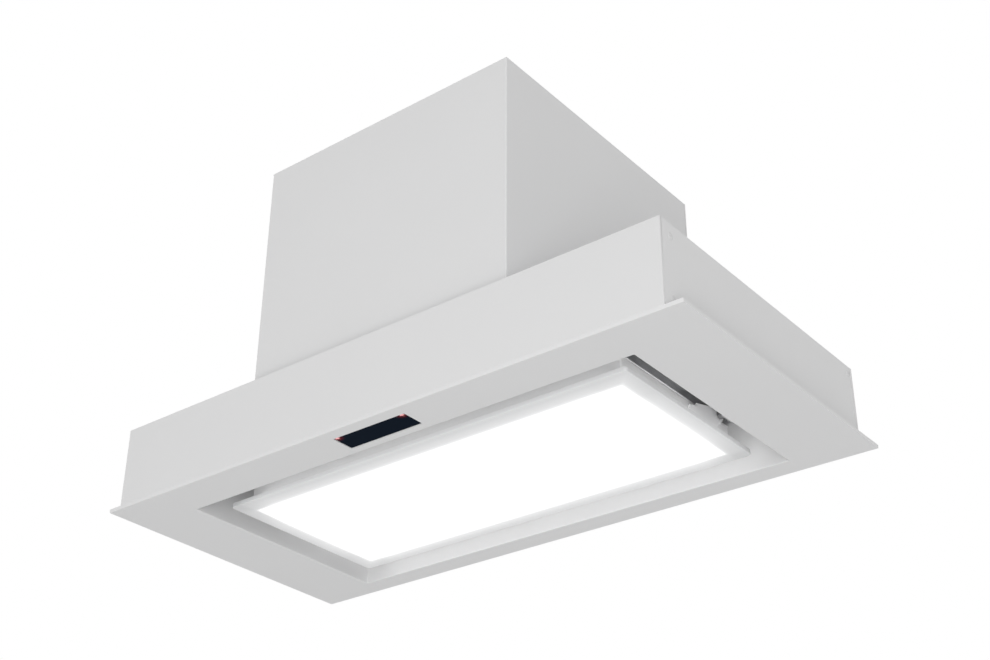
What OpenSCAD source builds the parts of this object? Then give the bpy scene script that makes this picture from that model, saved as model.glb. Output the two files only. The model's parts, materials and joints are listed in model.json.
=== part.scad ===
// Integrated kitchen hood with a light panel that swings down for the grease filters.
// The front faces -Y, +X is to the right and +Z is up. The origin is the middle of the
// bottom frame's underside. All sizes are in millimetres.

/* [Casing] */
// Width of the bottom frame
frame_w = 600; // [590:1:680]
// Depth of the bottom frame
frame_d = 290; // [282:1:320]
// Thickness of the casing's sheet metal
sheet = 1; // [0.8:0.1:1.3]
// Clear height inside the frame's folded edge
hem_gap = 1; // [0.8:0.1:2]
// Width of the folded edge along the front and back
hem_lap = 6; // [4:0.5:7]
// Overhang of the frame past each side panel
overhang = 15; // [12:1:22]
// Height of the lower box's top above the underside
lower_top = 77; // [76:1:100]
// Width of the folded flanges inside the casing
flange_w = 12; // [10:1:13]
// Width of the front panel's fold round each front corner
corner_fold = 1.6; // [1.4:0.2:4]
// Width of the back panel's fold round each rear corner
back_fold = 4; // [3:0.5:6]
// Width of the lap that a side panel is fixed to
lap_w = 17.5; // [16:0.5:22]
// Width of the upper box
upper_w = 276; // [270:1:300]
// Height of the upper box above the lower one
upper_h = 227.5; // [225:0.5:260]
// Distance of the upper box's front behind the frame's front edge
upper_setback = 12; // [8:1:16]

/* [Suction opening] */
// Width of the frame's strip on each side of the opening
side_strip = 68.5; // [60:0.5:76]
// Depth of the frame's strip in front of the opening
front_strip = 42.5; // [38:0.5:46]
// Depth of the frame's strip behind the opening
back_strip = 23; // [22:1:30]
// Height of the folded wall round the opening
collar_h = 50; // [18:1:56]

/* [Light panel] */
// Width of the suction slot round the light panel
slot_w = 21; // [16:0.5:23]
// Height of the glass above the frame's underside
glass_lift = 3.5; // [2:0.5:6]
// Thickness of the glass
glass_t = 4; // [3:0.5:5]
// Corner radius of the glass
glass_r = 4; // [2:0.5:8]
// Distance of the tray's walls inside the glass's edge
tray_inset = 13; // [10:1:18]
// Height of the tray's walls
tray_h = 19.5; // [17:0.5:21]
// Thickness of the tray's lid
lid_t = 1.3; // [1:0.1:1.6]
// Thickness of the diffuser
diffuser_t = 2; // [1.5:0.5:4]
// Number of light strips
strip_n = 4; // [2:1:5]

/* [Hinges] */
// Distance of the pivot in front of the glass's back edge
pivot_back = 31; // [29:1:33]
// Height of the pivot above the tray's lid
pivot_rise = 2; // [1.5:0.5:3]
// Radius of the pivot pin
pin_r = 2; // [1.5:0.1:2.2]
// Running clearance between a pin and its bore
pin_fit = 0.05; // [0.03:0.01:0.1]
// Thickness of the hinge arms and brackets
arm_t = 2; // [1.5:0.1:2.5]
// Room for the spring between arm and bracket
spring_room = 7.6; // [7.6:0.1:10]
// Radius of the spring's wire
wire_r = 0.5; // [0.4:0.05:0.55]
// Rise of the spring's wire for each turn
spring_pitch = 1.6; // [1.5:0.05:1.7]
// Turns of the spring
spring_turns = 4; // [3:1:4]

/* [Grease filters] */
// Distance of the filters' outer edges inside the upper box's sides
filter_in = 4; // [3.5:0.5:8]
// Distance of the filters behind the opening's front edge
filter_front = 6; // [4:0.5:8]
// Distance of the filters in front of the opening's back edge
filter_back = 8; // [6:0.5:10]
// Thickness of one filter
filter_t = 9; // [7:0.5:9.5]
// Room between a filter and the deck above it
filter_play = 1.3; // [1:0.1:1.6]
// Half of the gap between the filters
filter_split = 1.5; // [1:0.5:3]
// Width of a filter's rim
rim_w = 10; // [8:1:14]

/* [Blower] */
// Radius of the impeller
impeller_r = 70; // [66:1:72]
// Length of the impeller
impeller_w = 96; // [80:1:100]
// Number of blades on the impeller
blade_n = 24; // [16:1:30]
// Radius of the blower's shaft
shaft_r = 4; // [3:0.5:5]
// Radius of the motor
motor_r = 40; // [32:1:44]
// Gap between impeller and scroll at the tongue
tongue_gap = 10; // [8:1:11]
// Growth of the scroll's radius over its length
scroll_growth = 32; // [26:1:33]
// Wall thickness of the scroll
scroll_t = 1.2; // [1:0.1:1.6]
// Radius of each air inlet
inlet_r = 60; // [54:1:62]
// Distance of the impeller's axis in front of the outlet's
duct_offset = 43; // [40:1:45]
// Room between the scroll and the upper box's front
blower_gap = 13; // [6:1:16]

/* [Outlet] */
// Outside radius of the outlet spigot
spigot_r = 74.5; // [60:0.5:76]
// Height of the spigot above the upper box
spigot_h = 40; // [35:1:45]
// Width of the spigot's foot flange
foot_w = 16; // [14:1:20]
// Radius of the flap rod
rod_r = 2; // [1.5:0.1:2.5]

/* [Controls] */
// Width of the touch control's glass
control_w = 75; // [60:1:90]
// Depth of the touch control's glass
control_d = 21.5; // [20:0.5:26]
// Thickness of the touch control's glass
control_t = 3; // [2:0.5:4]
// Distance of the control's glass behind the frame's front edge
control_back = 12.4; // [8:0.2:14]
// Radius of the bore for the mains lead
lead_r = 4; // [3:0.5:5]

/* [Fixings] */
// Shank radius of the casing's screws
screw_r = 1.7; // [1.4:0.1:2]
// Head radius of the casing's screws
head_r = 3.2; // [2.8:0.1:3.6]
// Height of the screws' heads
head_t = 1; // [0.8:0.1:1.4]
// Radius of the fixing holes in the back
wall_hole_r = 3; // [2.5:0.5:4]
// Distance between the fixing holes, side to side
wall_hole_x = 480; // [440:10:500]
// Distance between the fixing holes, bottom to top
wall_hole_z = 36; // [30:1:40]

/* [Hidden] */
paint = [0.93, 0.93, 0.93];
steel = [0.72, 0.73, 0.75];
dark_plastic = [0.16, 0.17, 0.18];
copper_board = [0.1, 0.35, 0.2];

// Solids of one piece sink into each other this far
eps = 0.02;
// Cuts run this far past the surfaces that they open
cut = 1;
// Gap between panels that meet
seam = 0.3;
screw_fit = 0.05;
press_fit = 0.02;
// Gap between parts that lie beside each other
air = 0.3;
hw = frame_w / 2;
hd = frame_d / 2;
hem_h = 2 * sheet + hem_gap;
box_x = hw - overhang;
deck_z = lower_top - sheet;
floor_z = lower_top + sheet;

open_x = hw - side_strip;
open_y0 = front_strip - hd;
open_y1 = hd - back_strip;

upper_x = upper_w / 2;
upper_y = upper_setback - hd;
upper_top = lower_top + upper_h;
roof_z = upper_top - sheet;

glass_x = open_x - slot_w;
glass_y0 = open_y0 + slot_w;
glass_y1 = open_y1 - slot_w;
glass_z1 = glass_lift + glass_t;
tray_x = glass_x - tray_inset;
tray_y0 = glass_y0 + tray_inset;
tray_y1 = glass_y1 - tray_inset;
tray_z1 = glass_z1 + tray_h;
lid_z1 = tray_z1 + lid_t;
strip_w = 10;
strip_t = 1.6;
strip_in = 8;
lid_fold = 6;

pivot_y = glass_y1 - pivot_back;
pivot_z = lid_z1 + pivot_rise;
eye_r = 6.5;
arm_x = tray_x + arm_t;
// Reach of each arm's foot and of its neck in front of the pivot
arm_reach = 44;
arm_neck = 33;
arm_foot_z = glass_z1 + 6;
bracket_x = arm_x + spring_room;
bracket_half = 9;
bracket_low = 6;
bracket_foot = 20;
// Nothing behind the pivot may reach further than this, so that the glass swings past it
tail_r = pivot_z - glass_z1 - 1.3;
post_r = 2.6;
post_neck_r = 1.5;
post_wall = 2.4;
coil_r = post_r + wire_r + air;
post_y = tail_r - coil_r - post_r;
post_z = eye_r + air + wire_r - coil_r;
pin_end = 0.4;
pin_collar = 1.5;
pin_head = 1.2;
pin_head_t = 1.5;

filter_x1 = upper_x - filter_in;
filter_y1 = open_y1 - filter_back;
filter_y0 = open_y0 + filter_front;
filter_mid = (filter_split + filter_x1) / 2;
filter_z1 = deck_z - filter_play;
filter_z0 = filter_z1 - filter_t;
ledge_w = 3;
rail_t = 1.2;
rail_gap = 0.6;
rail_foot = 8;
rail_x = filter_x1 + 2;
// The hole in the deck stays this far inside the filters' edges
deck_lap = 12;
deck_lap_y = 6;
magnet_t = 4;
filter_magnet_at = 40;
filter_magnet_w = 14;
filter_magnet_h = 5;
handle_r = 2;
handle_w = 40;
handle_drop = 7;
handle_foot = 1;

tongue_deg = 60;
step_deg = 12;
blower_y = upper_y + sheet + blower_gap + scroll_t + spiral_r(180);
duct_y = blower_y + duct_offset;
impeller_gap = 6;
scroll_x = impeller_w / 2 + impeller_gap;
side_x = scroll_x + scroll_t;
lip_h = 8;
cradle_t = 1.5;
cradle_w = 16;
cradle_leg = 9;
cradle_half = 38;
scroll_lift = 0.5;
blower_z = floor_z + cradle_t + scroll_lift + scroll_t + spiral_r(270);
// The neck widens upwards from the tongue at this angle above the level
neck_deg = 39;
neck_back = 65;
tongue_r = spiral_r(tongue_deg);
tongue = [blower_y + tongue_r * cos(tongue_deg), blower_z + tongue_r * sin(tongue_deg)];
neck_y0 = tongue.x - (roof_z - tongue.y) / tan(neck_deg);
neck_y1 = duct_y + neck_back;
back_lean = (neck_y1 - blower_y - spiral_r(360)) / (roof_z - blower_z);
can_r = 14;
can_l = 45;
can_z = blower_z - inlet_r - lip_h - can_r + 1;
pole_r = 1.5;
pole_l = 6;
pole_at = 5;
disc_t = 2;
rim_t = 1.5;
blade_d = 12;
blade_t = 1.2;
blade_deg = 25;
hub_r = 14;
hub_x0 = -14;
hub_x1 = 4;
motor_x0 = 14;
motor_cap = 6;
motor_step = 16;
collar_w = 6;
collar_t = 5;
shaft_x0 = hub_x0 - collar_w - 2;
grommet_r = 6;
grommet_out = 20;
grommet_at = inlet_r + grommet_out;
mount_x = side_x + lip_h + 3;
mount_t = 2;
mount_arm_w = 16;
mount_turns = [30, 150, 270];

wall_r = spigot_r - 1.5;
foot_t = 2;
ledge_r = wall_r - 3.5;
ledge_t = 1.5;
rod_z = upper_top + 13.5;
knuckle_r = rod_r + 1.6;
flap_t = 1.2;
flap_z = rod_z - 1.7;
flap_r = wall_r - 1;
knuckle_l = (flap_r - 12) / 3;
knuckle_gap = 0.5;
foot_screw_r = spigot_r + foot_w / 2;

control_y0 = control_back - hd;
control_y1 = control_y0 + control_d;
control_lift = 0.3;
control_margin = 5;
control_top = control_lift + control_t;
lens_r = 1.9;
lens_in = 3.2;
box_wall = 1.5;
box_gap = 3;
box_w = 36;
box_d = 120;
box_x1 = rail_x + box_gap;
box_x0 = box_x1 + box_w;
box_back = 19;
box_y0 = filter_y0 + box_back;
box_y1 = box_y0 + box_d;
box_h = 24;
lid_h = 2;
board_t = 1.6;
board_gap = 3;
post_h = 6;
coil_in = 4;
coil_w = 18;
coil_d = 30;
coil_h = 9;
control_box_h = 15;
board_lift = 3;
window_front = 6.5;
window_in = 4;
// Distance of the housing in front of the glass, and of its board inside the glass
housing_front = 0.7;
board_in = 2;
driver_w = 36;
driver_d = 60;
driver_x0 = rail_x + box_gap;
driver_x1 = driver_x0 + driver_w;
driver_y0 = filter_y0 + 4;
driver_y1 = driver_y0 + driver_d;
driver_h = 16;
driver_wall = 5;
vent_pitch = 10;
vent_w = 3;
vent_d = 2;
gland_from_side = 43;
gland_from_front = 38;
gland_x = gland_from_side - upper_x;
gland_y = upper_y + gland_from_front;
gland_wall = 3;
gland_cap_h = 9;
gland_nut_h = 5;
gland_hex = 7.5;
gland_tail = 8;
nut_t = 4;
nut_hex = 7;
catch_x = 158;
catch_w = 16;
catch_t = 1.5;
// Distance of the catches behind the opening's front wall
catch_in = 1.5;
catch_foot = 12;
deck_screw_in = [28, 98];
front_screw_back = 11.9;
front_screw_drop = 11.2;
front_screw_rise = 10.3;
back_screw_in = 3.6;
back_screw_low = 23;
back_screw_high = 26;
back_screw_drop = 7.2;
striker_t = 0.8;
striker_in = 2;
lead_wire_r = 2.2;
lead_bend = 4;
lead_in = 8;
lead_out = 25;
lead_climb = 24;
lead_reach = 18;
box_entry = 5;
lead_sides = 8;
striker_d = 12;
magnet_w = 12;
magnet_d = 10;

// Helpers

// A box between two opposite corners
module block(low, high) {
    translate(low) cube(high - low);
}

// A block on the right, and its mirror image on the left
module both_sides() {
    children();
    mirror([1, 0, 0]) children();
}

// A rectangular ring between two rectangles that are given by their half widths and ends in y
module ring(outer_x, outer_y0, outer_y1, inner_x, inner_y0, inner_y1, z0, z1) {
    difference() {
        block([-outer_x, outer_y0, z0], [outer_x, outer_y1, z1]);
        block([-inner_x, inner_y0, z0 - cut], [inner_x, inner_y1, z1 + cut]);
    }
}

// A plate with round corners, centred in x
module round_plate(half_x, y0, y1, z0, z1, r) {
    translate([0, 0, z0]) linear_extrude(z1 - z0) {
        translate([-half_x + r, y0]) square([2 * (half_x - r), y1 - y0]);
        translate([-half_x, y0 + r]) square([2 * half_x, y1 - y0 - 2 * r]);
        for (x = [-half_x + r, half_x - r], y = [y0 + r, y1 - r])
            translate([x, y]) circle(r, $fn = 48);
    }
}

// A cylinder along +X that starts at the given point
module rod_x(at, length, r, sides = 64) {
    translate(at) rotate([0, 90, 0]) cylinder(length, r, r, $fn = sides);
}

// A cylinder along +Y that starts at the given point
module rod_y(at, length, r, sides = 64) {
    translate(at) rotate([-90, 0, 0]) cylinder(length, r, r, $fn = sides);
}

// A cylinder along +Z that starts at the given point
module rod_z(at, length, r, sides = 64) {
    translate(at) cylinder(length, r, r, $fn = sides);
}

// An outline in Y and Z, pulled out along X from x0 to x1
module along_x(x0, x1) {
    translate([x0, 0, 0]) rotate([90, 0, 90]) linear_extrude(x1 - x0) children();
}

// Unit vectors square to a line's own points, each turned as little as possible from the one before
function square_to(line, found) =
    len(found) == len(line) ? found :
    let (
        i = len(found),
        ahead = line[min(i + 1, len(line) - 1)] - line[i - 1],
        along = ahead / norm(ahead),
        flat = found[i - 1] - (found[i - 1] * along) * along
    )
    square_to(line, concat(found, [flat / norm(flat)]));

// A wire of radius r along a line that starts square to the given unit vector
module wire(line, r, start, sides) {
    out = square_to(line, [start]);
    count = len(line);
    last = (count - 1) * sides;
    polyhedron(
        [
            for (i = [0 : count - 1])
                let (
                    ahead = line[min(i + 1, count - 1)] - line[max(i - 1, 0)],
                    up = cross(ahead / norm(ahead), out[i])
                )
                for (k = [0 : sides - 1])
                    let (turn = 360 * k / sides)
                    line[i] + r * (cos(turn) * out[i] + sin(turn) * up)
        ],
        concat(
            [
                for (i = [0 : count - 2], k = [0 : sides - 1])
                    let (a = i * sides + k, b = i * sides + (k + 1) % sides)
                    each [[a, b + sides, b], [a, a + sides, b + sides]]
            ],
            [for (k = [1 : sides - 2]) [0, k, k + 1]],
            [for (k = [1 : sides - 2]) [last, last + k + 1, last + k]]
        )
    );
}

// A route with each inner corner rounded over the given distance
function rounded(points, round) = concat(
    [points[0]],
    [
        for (i = [1 : len(points) - 2])
            let (
                at = points[i],
                before = points[i - 1] - at,
                after = points[i + 1] - at,
                a = at + before / norm(before) * round,
                b = at + after / norm(after) * round
            )
            for (t = [0 : 0.25 : 1]) (1 - t) * (1 - t) * a + 2 * t * (1 - t) * at + t * t * b
    ],
    [points[len(points) - 1]]
);

// Casing

module bottom_frame() {
    cutout_x = control_w / 2 + seam;
    color(paint) difference() {
        union() {
            block([-hw, -hd, 0], [hw, hd, sheet]);
            ring(hw, -hd, hd, hw - sheet, sheet - hd, hd - sheet, 0, hem_h);
            ring(hw, -hd, hd, box_x - 3 * sheet, hem_lap - hd, hd - hem_lap, hem_h - sheet, hem_h);
            ring(open_x + sheet, open_y0 - sheet, open_y1 + sheet, open_x, open_y0, open_y1, 0, collar_h);
        }
        block([-open_x, open_y0, -cut], [open_x, open_y1, hem_h]);
        block([-cutout_x, control_y0 - seam, -cut], [cutout_x, control_y1 + seam, sheet + cut]);
    }
}

// Places of the screws on the right side panel, in Y and Z
side_screw_at = [
    [corner_fold + front_screw_back - hd, lower_top - front_screw_drop],
    [corner_fold + front_screw_back - hd, hem_h + front_screw_rise],
    [hd - back_fold - back_screw_in, lower_top - back_screw_drop]
];

// Bottom and top of the laps that the side panels are fixed to
lap_z0 = hem_h + sheet + seam;
lap_z1 = deck_z - sheet - seam;

module side_screw_holes(r) {
    both_sides() for (at = side_screw_at) rod_x([box_x - 3 * sheet, at.x, at.y], 4 * sheet, r);
}

module front_panel() {
    inside = sheet - hd;
    fold_y = corner_fold - hd;
    flange_x = box_x - 3 * sheet;
    color(paint) difference() {
        union() {
            block([-box_x, -hd, hem_h], [box_x, inside, lower_top]);
            block([-flange_x, inside - eps, deck_z - sheet], [flange_x, inside + flange_w, deck_z]);
            both_sides() {
                block([box_x - sheet, -hd, hem_h], [box_x, fold_y, lower_top]);
                block([box_x - 2 * sheet, fold_y - sheet, lap_z0], [box_x, fold_y, lap_z1]);
                block([box_x - 2 * sheet, fold_y - sheet, lap_z0], [box_x - sheet, fold_y + lap_w, lap_z1]);
            }
        }
        side_screw_holes(screw_r + screw_fit);
    }
}

module right_side_panel() {
    inside = box_x - sheet;
    flange_y = hd - 2 * sheet - flange_w;
    color(paint) difference() {
        union() {
            block([inside, corner_fold + seam - hd, hem_h], [box_x, hd - back_fold - seam, lower_top]);
            block([inside - flange_w, -flange_y, deck_z - sheet], [inside + eps, flange_y, deck_z]);
        }
        side_screw_holes(screw_r + screw_fit);
    }
}

module left_side_panel() {
    mirror([1, 0, 0]) right_side_panel();
}

module back_panel() {
    inside = hd - sheet;
    fold_y = hd - back_fold;
    flange_x = box_x - 3 * sheet;
    middle = (hem_h + deck_z) / 2;
    color(paint) difference() {
        union() {
            block([-box_x, inside, hem_h], [box_x, hd, lower_top]);
            block([-flange_x, inside - flange_w, deck_z - sheet], [flange_x, inside + eps, deck_z]);
            both_sides() {
                block([box_x - sheet, fold_y, hem_h], [box_x, hd, lower_top]);
                block([box_x - 2 * sheet, fold_y, lap_z0], [box_x, fold_y + sheet, lap_z1]);
                block([box_x - 2 * sheet, fold_y - lap_w, lap_z0],
                    [box_x - sheet, fold_y + sheet, lap_z1]);
            }
        }
        side_screw_holes(screw_r + screw_fit);
        deck_screw_holes(screw_r + screw_fit);
        for (x = [-1, 1], z = [-1, 1])
            rod_y([x * wall_hole_x / 2, inside - cut, middle + z * wall_hole_z / 2],
                sheet + 2 * cut, wall_hole_r);
    }
}

// Places of the screws in the upper box's bottom flanges, in X and Y
deck_screw_at = [
    for (side = [-1, 1], y = [upper_y + sheet + flange_w / 2, hd - sheet - flange_w / 2])
        for (in = deck_screw_in) [side * (upper_x - in), y]
];
lead_hole_r = 5;
lead_hole_front = 14.5;
lead_hole = [gland_x - lead_hole_r, filter_y0 - lead_hole_front];

module deck_screw_holes(r) {
    for (at = deck_screw_at) rod_z([at.x, at.y, deck_z - 2 * sheet], 5 * sheet, r);
}

module deck_panel() {
    hole_x = filter_x1 - deck_lap;
    color(paint) difference() {
        block([-box_x + sheet, sheet - hd, deck_z], [box_x - sheet, hd - sheet, lower_top]);
        block([-hole_x, filter_y0 + deck_lap_y, deck_z - cut],
            [hole_x, filter_y1 - deck_lap_y, lower_top + cut]);
        deck_screw_holes(screw_r + screw_fit);
        rod_z([lead_hole.x, lead_hole.y, deck_z - cut], sheet + 2 * cut, lead_hole_r);
    }
}

module side_screws() {
    color(steel) both_sides() for (at = side_screw_at) {
        rod_x([box_x - 3 * sheet, at.x, at.y], 3 * sheet + eps, screw_r);
        rod_x([box_x, at.x, at.y], head_t, head_r);
    }
}

module upper_shell() {
    wall_x = upper_x - sheet;
    inside = upper_y + sheet;
    corner_y = inside + flange_w + sheet;
    color(paint) difference() {
        union() {
            block([-upper_x, upper_y, lower_top], [upper_x, inside, roof_z]);
            block([-wall_x, inside - eps, lower_top], [wall_x, inside + flange_w, floor_z]);
            both_sides() {
                block([wall_x, upper_y, lower_top], [upper_x, hd - sheet, roof_z]);
                block([wall_x - flange_w, corner_y, lower_top],
                    [wall_x + eps, hd - flange_w - 3 * sheet, floor_z]);
                block([wall_x - flange_w, hd - 2 * sheet, floor_z + sheet],
                    [wall_x + eps, hd - sheet, roof_z - flange_w - 2 * sheet]);
            }
        }
        deck_screw_holes(screw_r + screw_fit);
        rod_z([lead_hole.x, lead_hole.y, lower_top - cut], sheet + 2 * cut, lead_hole_r);
        back_screw_holes(screw_r + screw_fit);
    }
}

// Places of the flush screws in the upper back panel
back_screw_x = upper_x - sheet - flange_w / 2;
back_screw_z = [lower_top + back_screw_low, (lower_top + roof_z) / 2, roof_z - back_screw_high];

module back_screw_holes(r) {
    both_sides() for (z = back_screw_z) rod_y([back_screw_x, hd - 3 * sheet, z], 4 * sheet, r);
}

module upper_back_panel() {
    inside = hd - sheet;
    flange_x = upper_x - 2 * sheet;
    color(paint) difference() {
        union() {
            block([-upper_x, inside, lower_top], [upper_x, hd, roof_z]);
            block([-flange_x, inside - flange_w, lower_top], [flange_x, inside + eps, floor_z]);
        }
        deck_screw_holes(screw_r + screw_fit);
        both_sides() for (z = back_screw_z)
            rod_y([back_screw_x, inside - cut, z], sheet + 2 * cut, head_r + screw_fit);
    }
}

module foot_screw_places() {
    translate([0, duct_y, 0]) for (turn = [40, 140, 220, 320])
        translate([foot_screw_r * cos(turn), foot_screw_r * sin(turn), 0]) children();
}

module upper_top_panel() {
    flange_x = upper_x - 2 * sheet;
    hole_h = sheet + 2 * cut;
    color(paint) difference() {
        union() {
            block([-upper_x, upper_y, roof_z], [upper_x, hd, upper_top]);
            both_sides() block([flange_x, upper_y + 2 * sheet, roof_z - flange_w],
                [flange_x + sheet, hd - 3 * sheet, roof_z + eps]);
        }
        rod_z([0, duct_y, roof_z - cut], hole_h, wall_r, 128);
        foot_screw_places() rod_z([0, 0, roof_z - cut], hole_h, screw_r + screw_fit);
        rod_z([gland_x, gland_y, roof_z - cut], hole_h, lead_r + gland_wall + screw_fit);
    }
}

module housing_screws() {
    color(steel) {
        for (at = deck_screw_at) {
            rod_z([at.x, at.y, deck_z - sheet], 3 * sheet + eps, screw_r);
            rod_z([at.x, at.y, floor_z], head_t, head_r);
        }
        both_sides() for (z = back_screw_z) {
            rod_y([back_screw_x, hd - sheet, z], sheet, head_r);
            rod_y([back_screw_x, hd - 4 * sheet, z], 3 * sheet + eps, screw_r);
        }
    }
}

// Light panel

module panel_glass() {
    color("white") round_plate(glass_x, glass_y0, glass_y1, glass_lift, glass_z1, glass_r);
}

module panel_tray() {
    color(paint)
        ring(tray_x, tray_y0, tray_y1, tray_x - sheet, tray_y0 + sheet, tray_y1 - sheet, glass_z1, tray_z1);
}

module tray_lid() {
    fold_x = tray_x - sheet - air;
    fold_y0 = tray_y0 + sheet + air;
    fold_y1 = tray_y1 - sheet - air;
    color(paint) {
        block([-tray_x, tray_y0, tray_z1], [tray_x, tray_y1, lid_z1]);
        ring(fold_x, fold_y0, fold_y1, fold_x - sheet, fold_y0 + sheet, fold_y1 - sheet,
            tray_z1 - lid_fold, tray_z1 + eps);
    }
}

module diffuser() {
    play = sheet + air;
    color("white")
        block([play - tray_x, tray_y0 + play, glass_z1],
            [tray_x - play, tray_y1 - play, glass_z1 + diffuser_t]);
}

module light_strips() {
    pitch = (tray_y1 - tray_y0) / strip_n;
    half = tray_x - strip_in;
    color("white") for (i = [0 : strip_n - 1]) {
        y = tray_y0 + pitch * (i + 0.5);
        block([-half, y - strip_w / 2, tray_z1 - strip_t], [half, y + strip_w / 2, tray_z1]);
    }
}

module striker_plates() {
    y0 = tray_y0 + striker_in;
    color(steel) both_sides()
        block([catch_x - catch_w / 2, y0, lid_z1],
            [catch_x + catch_w / 2, y0 + striker_d, lid_z1 + striker_t]);
}

// Hinges

module right_hinge_arm() {
    color(steel) difference() {
        along_x(tray_x, arm_x) {
            translate([pivot_y, pivot_z]) circle(eye_r, $fn = 64);
            polygon([
                [pivot_y, pivot_z - eye_r], [pivot_y, pivot_z + eye_r],
                [pivot_y - arm_neck, lid_z1], [pivot_y - arm_neck, tray_z1 - 1],
                [pivot_y - arm_reach, tray_z1 - 4], [pivot_y - arm_reach, arm_foot_z],
                [pivot_y - eye_r, arm_foot_z]
            ]);
        }
        rod_x([tray_x - cut, pivot_y, pivot_z], arm_t + 2 * cut, pin_r + pin_fit);
    }
}

module left_hinge_arm() {
    mirror([1, 0, 0]) right_hinge_arm();
}

module right_hinge_bracket() {
    tail = tail_r - 2;
    ear = post_r + post_wall;
    top = deck_z - pivot_z;
    color(steel) difference() {
        union() {
            along_x(bracket_x, bracket_x + arm_t) translate([pivot_y, pivot_z]) polygon([
                [-bracket_half, -bracket_low], [bracket_low, -bracket_low], [tail, post_z - ear],
                [tail, post_z + ear], [bracket_half, post_z + 2 * ear],
                [bracket_half, top], [-bracket_half, top]
            ]);
            block([bracket_x, pivot_y - bracket_half, deck_z - arm_t],
                [bracket_x + bracket_foot, pivot_y + bracket_half, deck_z]);
        }
        rod_x([bracket_x - cut, pivot_y, pivot_z], arm_t + 2 * cut, pin_r + press_fit);
        rod_x([bracket_x - cut, pivot_y + post_y, pivot_z + post_z],
            arm_t + 2 * cut, post_neck_r + press_fit);
    }
}

module left_hinge_bracket() {
    mirror([1, 0, 0]) right_hinge_bracket();
}

module hinge_pins() {
    outside = bracket_x + arm_t;
    color(steel) both_sides() {
        rod_x([tray_x + pin_end, pivot_y, pivot_z], outside - tray_x - pin_end, pin_r);
        rod_x([arm_x + air, pivot_y, pivot_z], spring_room - air, pin_r + pin_collar);
        rod_x([outside, pivot_y, pivot_z], pin_head_t, pin_r + pin_head);
        rod_x([arm_x - 1, pivot_y + post_y, pivot_z + post_z], spring_room + 1, post_r);
        rod_x([bracket_x - eps, pivot_y + post_y, pivot_z + post_z], arm_t + eps, post_neck_r);
    }
}

coil_rings = 8;
wire_sides = 6;
// Middle line of the spring's wire: a straight leg over the arm's eye, then the coil
coil_x0 = arm_x - wire_r;
leg_z = pivot_z + post_z + coil_r;
spring_line = concat(
    [[coil_x0, pivot_y - eye_r, leg_z], [coil_x0, pivot_y + post_y - 2, leg_z]],
    [
        for (i = [0 : spring_turns * coil_rings])
            let (turn = 360 * i / coil_rings)
            [
                coil_x0 + spring_pitch * i / coil_rings,
                pivot_y + post_y + coil_r * sin(turn),
                pivot_z + post_z + coil_r * cos(turn)
            ]
    ]
);
coil_gap = min([
    for (i = [2 : len(spring_line) - 1], j = [2 : len(spring_line) - 1])
        if (j - i > coil_rings / 2) norm(spring_line[j] - spring_line[i])
]) - 2 * wire_r;

module hinge_springs() {
    echo(least_gap_between_turns = coil_gap);
    color(steel) {
        wire(spring_line, wire_r, [1, 0, 0], wire_sides);
        mirror([1, 0, 0]) wire(spring_line, wire_r, [1, 0, 0], wire_sides);
    }
}

magnet_z0 = lid_z1 + striker_t + air;
catch_z0 = magnet_z0 + magnet_t;
catch_y0 = open_y0 + catch_in;

module catch_brackets() {
    x0 = catch_x - catch_w / 2;
    x1 = catch_x + catch_w / 2;
    tongue_y = tray_y0 + striker_in + striker_d + 2;
    color(steel) both_sides() {
        block([x0, catch_y0, catch_z0], [x1, catch_y0 + catch_t, deck_z]);
        block([x0, catch_y0, catch_z0], [x1, tongue_y, catch_z0 + catch_t]);
        block([x0, catch_y0 - catch_foot, deck_z - catch_t], [x1, catch_y0 + eps, deck_z]);
    }
}

module catch_magnets() {
    y0 = tray_y0 + striker_in + (striker_d - magnet_d) / 2;
    color(dark_plastic) both_sides()
        block([catch_x - magnet_w / 2, y0, magnet_z0], [catch_x + magnet_w / 2, y0 + magnet_d, catch_z0]);
}

// Grease filters

front_rail_y = filter_y0 - rail_gap;
back_rail_y = filter_y1 + rail_gap;

module filter_rails() {
    ledge_z1 = filter_z0 - air;
    ledge_z0 = ledge_z1 - rail_t;
    wall_y0 = front_rail_y - rail_t;
    wall_y1 = back_rail_y + rail_t;
    color(paint) {
        block([-rail_x, wall_y0, filter_z0 + 0.5], [rail_x, front_rail_y, deck_z]);
        block([-rail_x, wall_y0 - rail_foot, deck_z - rail_t], [rail_x, wall_y0 + eps, deck_z]);
        block([-rail_x, back_rail_y, ledge_z0], [rail_x, wall_y1, deck_z]);
        block([-rail_x, filter_y1 - ledge_w, ledge_z0], [rail_x, back_rail_y + eps, ledge_z1]);
        block([-rail_x, wall_y1 - eps, deck_z - rail_t], [rail_x, wall_y1 + rail_foot, deck_z]);
    }
}

module filter_magnets() {
    y1 = front_rail_y - rail_t;
    z0 = filter_z0 + 1;
    color(dark_plastic) both_sides() for (x = [filter_mid - filter_magnet_at, filter_mid + filter_magnet_at])
        block([x - filter_magnet_w / 2, y1 - magnet_t, z0],
            [x + filter_magnet_w / 2, y1, z0 + filter_magnet_h]);
}

module right_filter_frame() {
    x0 = filter_split;
    y0 = filter_y0;
    x1 = filter_x1;
    y1 = filter_y1;
    color(steel) difference() {
        block([x0, y0, filter_z0], [x1, y1, filter_z1]);
        block([x0 + rim_w, y0 + rim_w, filter_z0 - cut], [x1 - rim_w, y1 - rim_w, filter_z1 + cut]);
        block([x0 + sheet, y0 + sheet, filter_z0 + sheet], [x1 - sheet, y1 - sheet, filter_z1 - sheet]);
    }
}

module left_filter_frame() {
    mirror([1, 0, 0]) right_filter_frame();
}

bar_w = 2;
bars_x = 8;
bars_y = 13;

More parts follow.
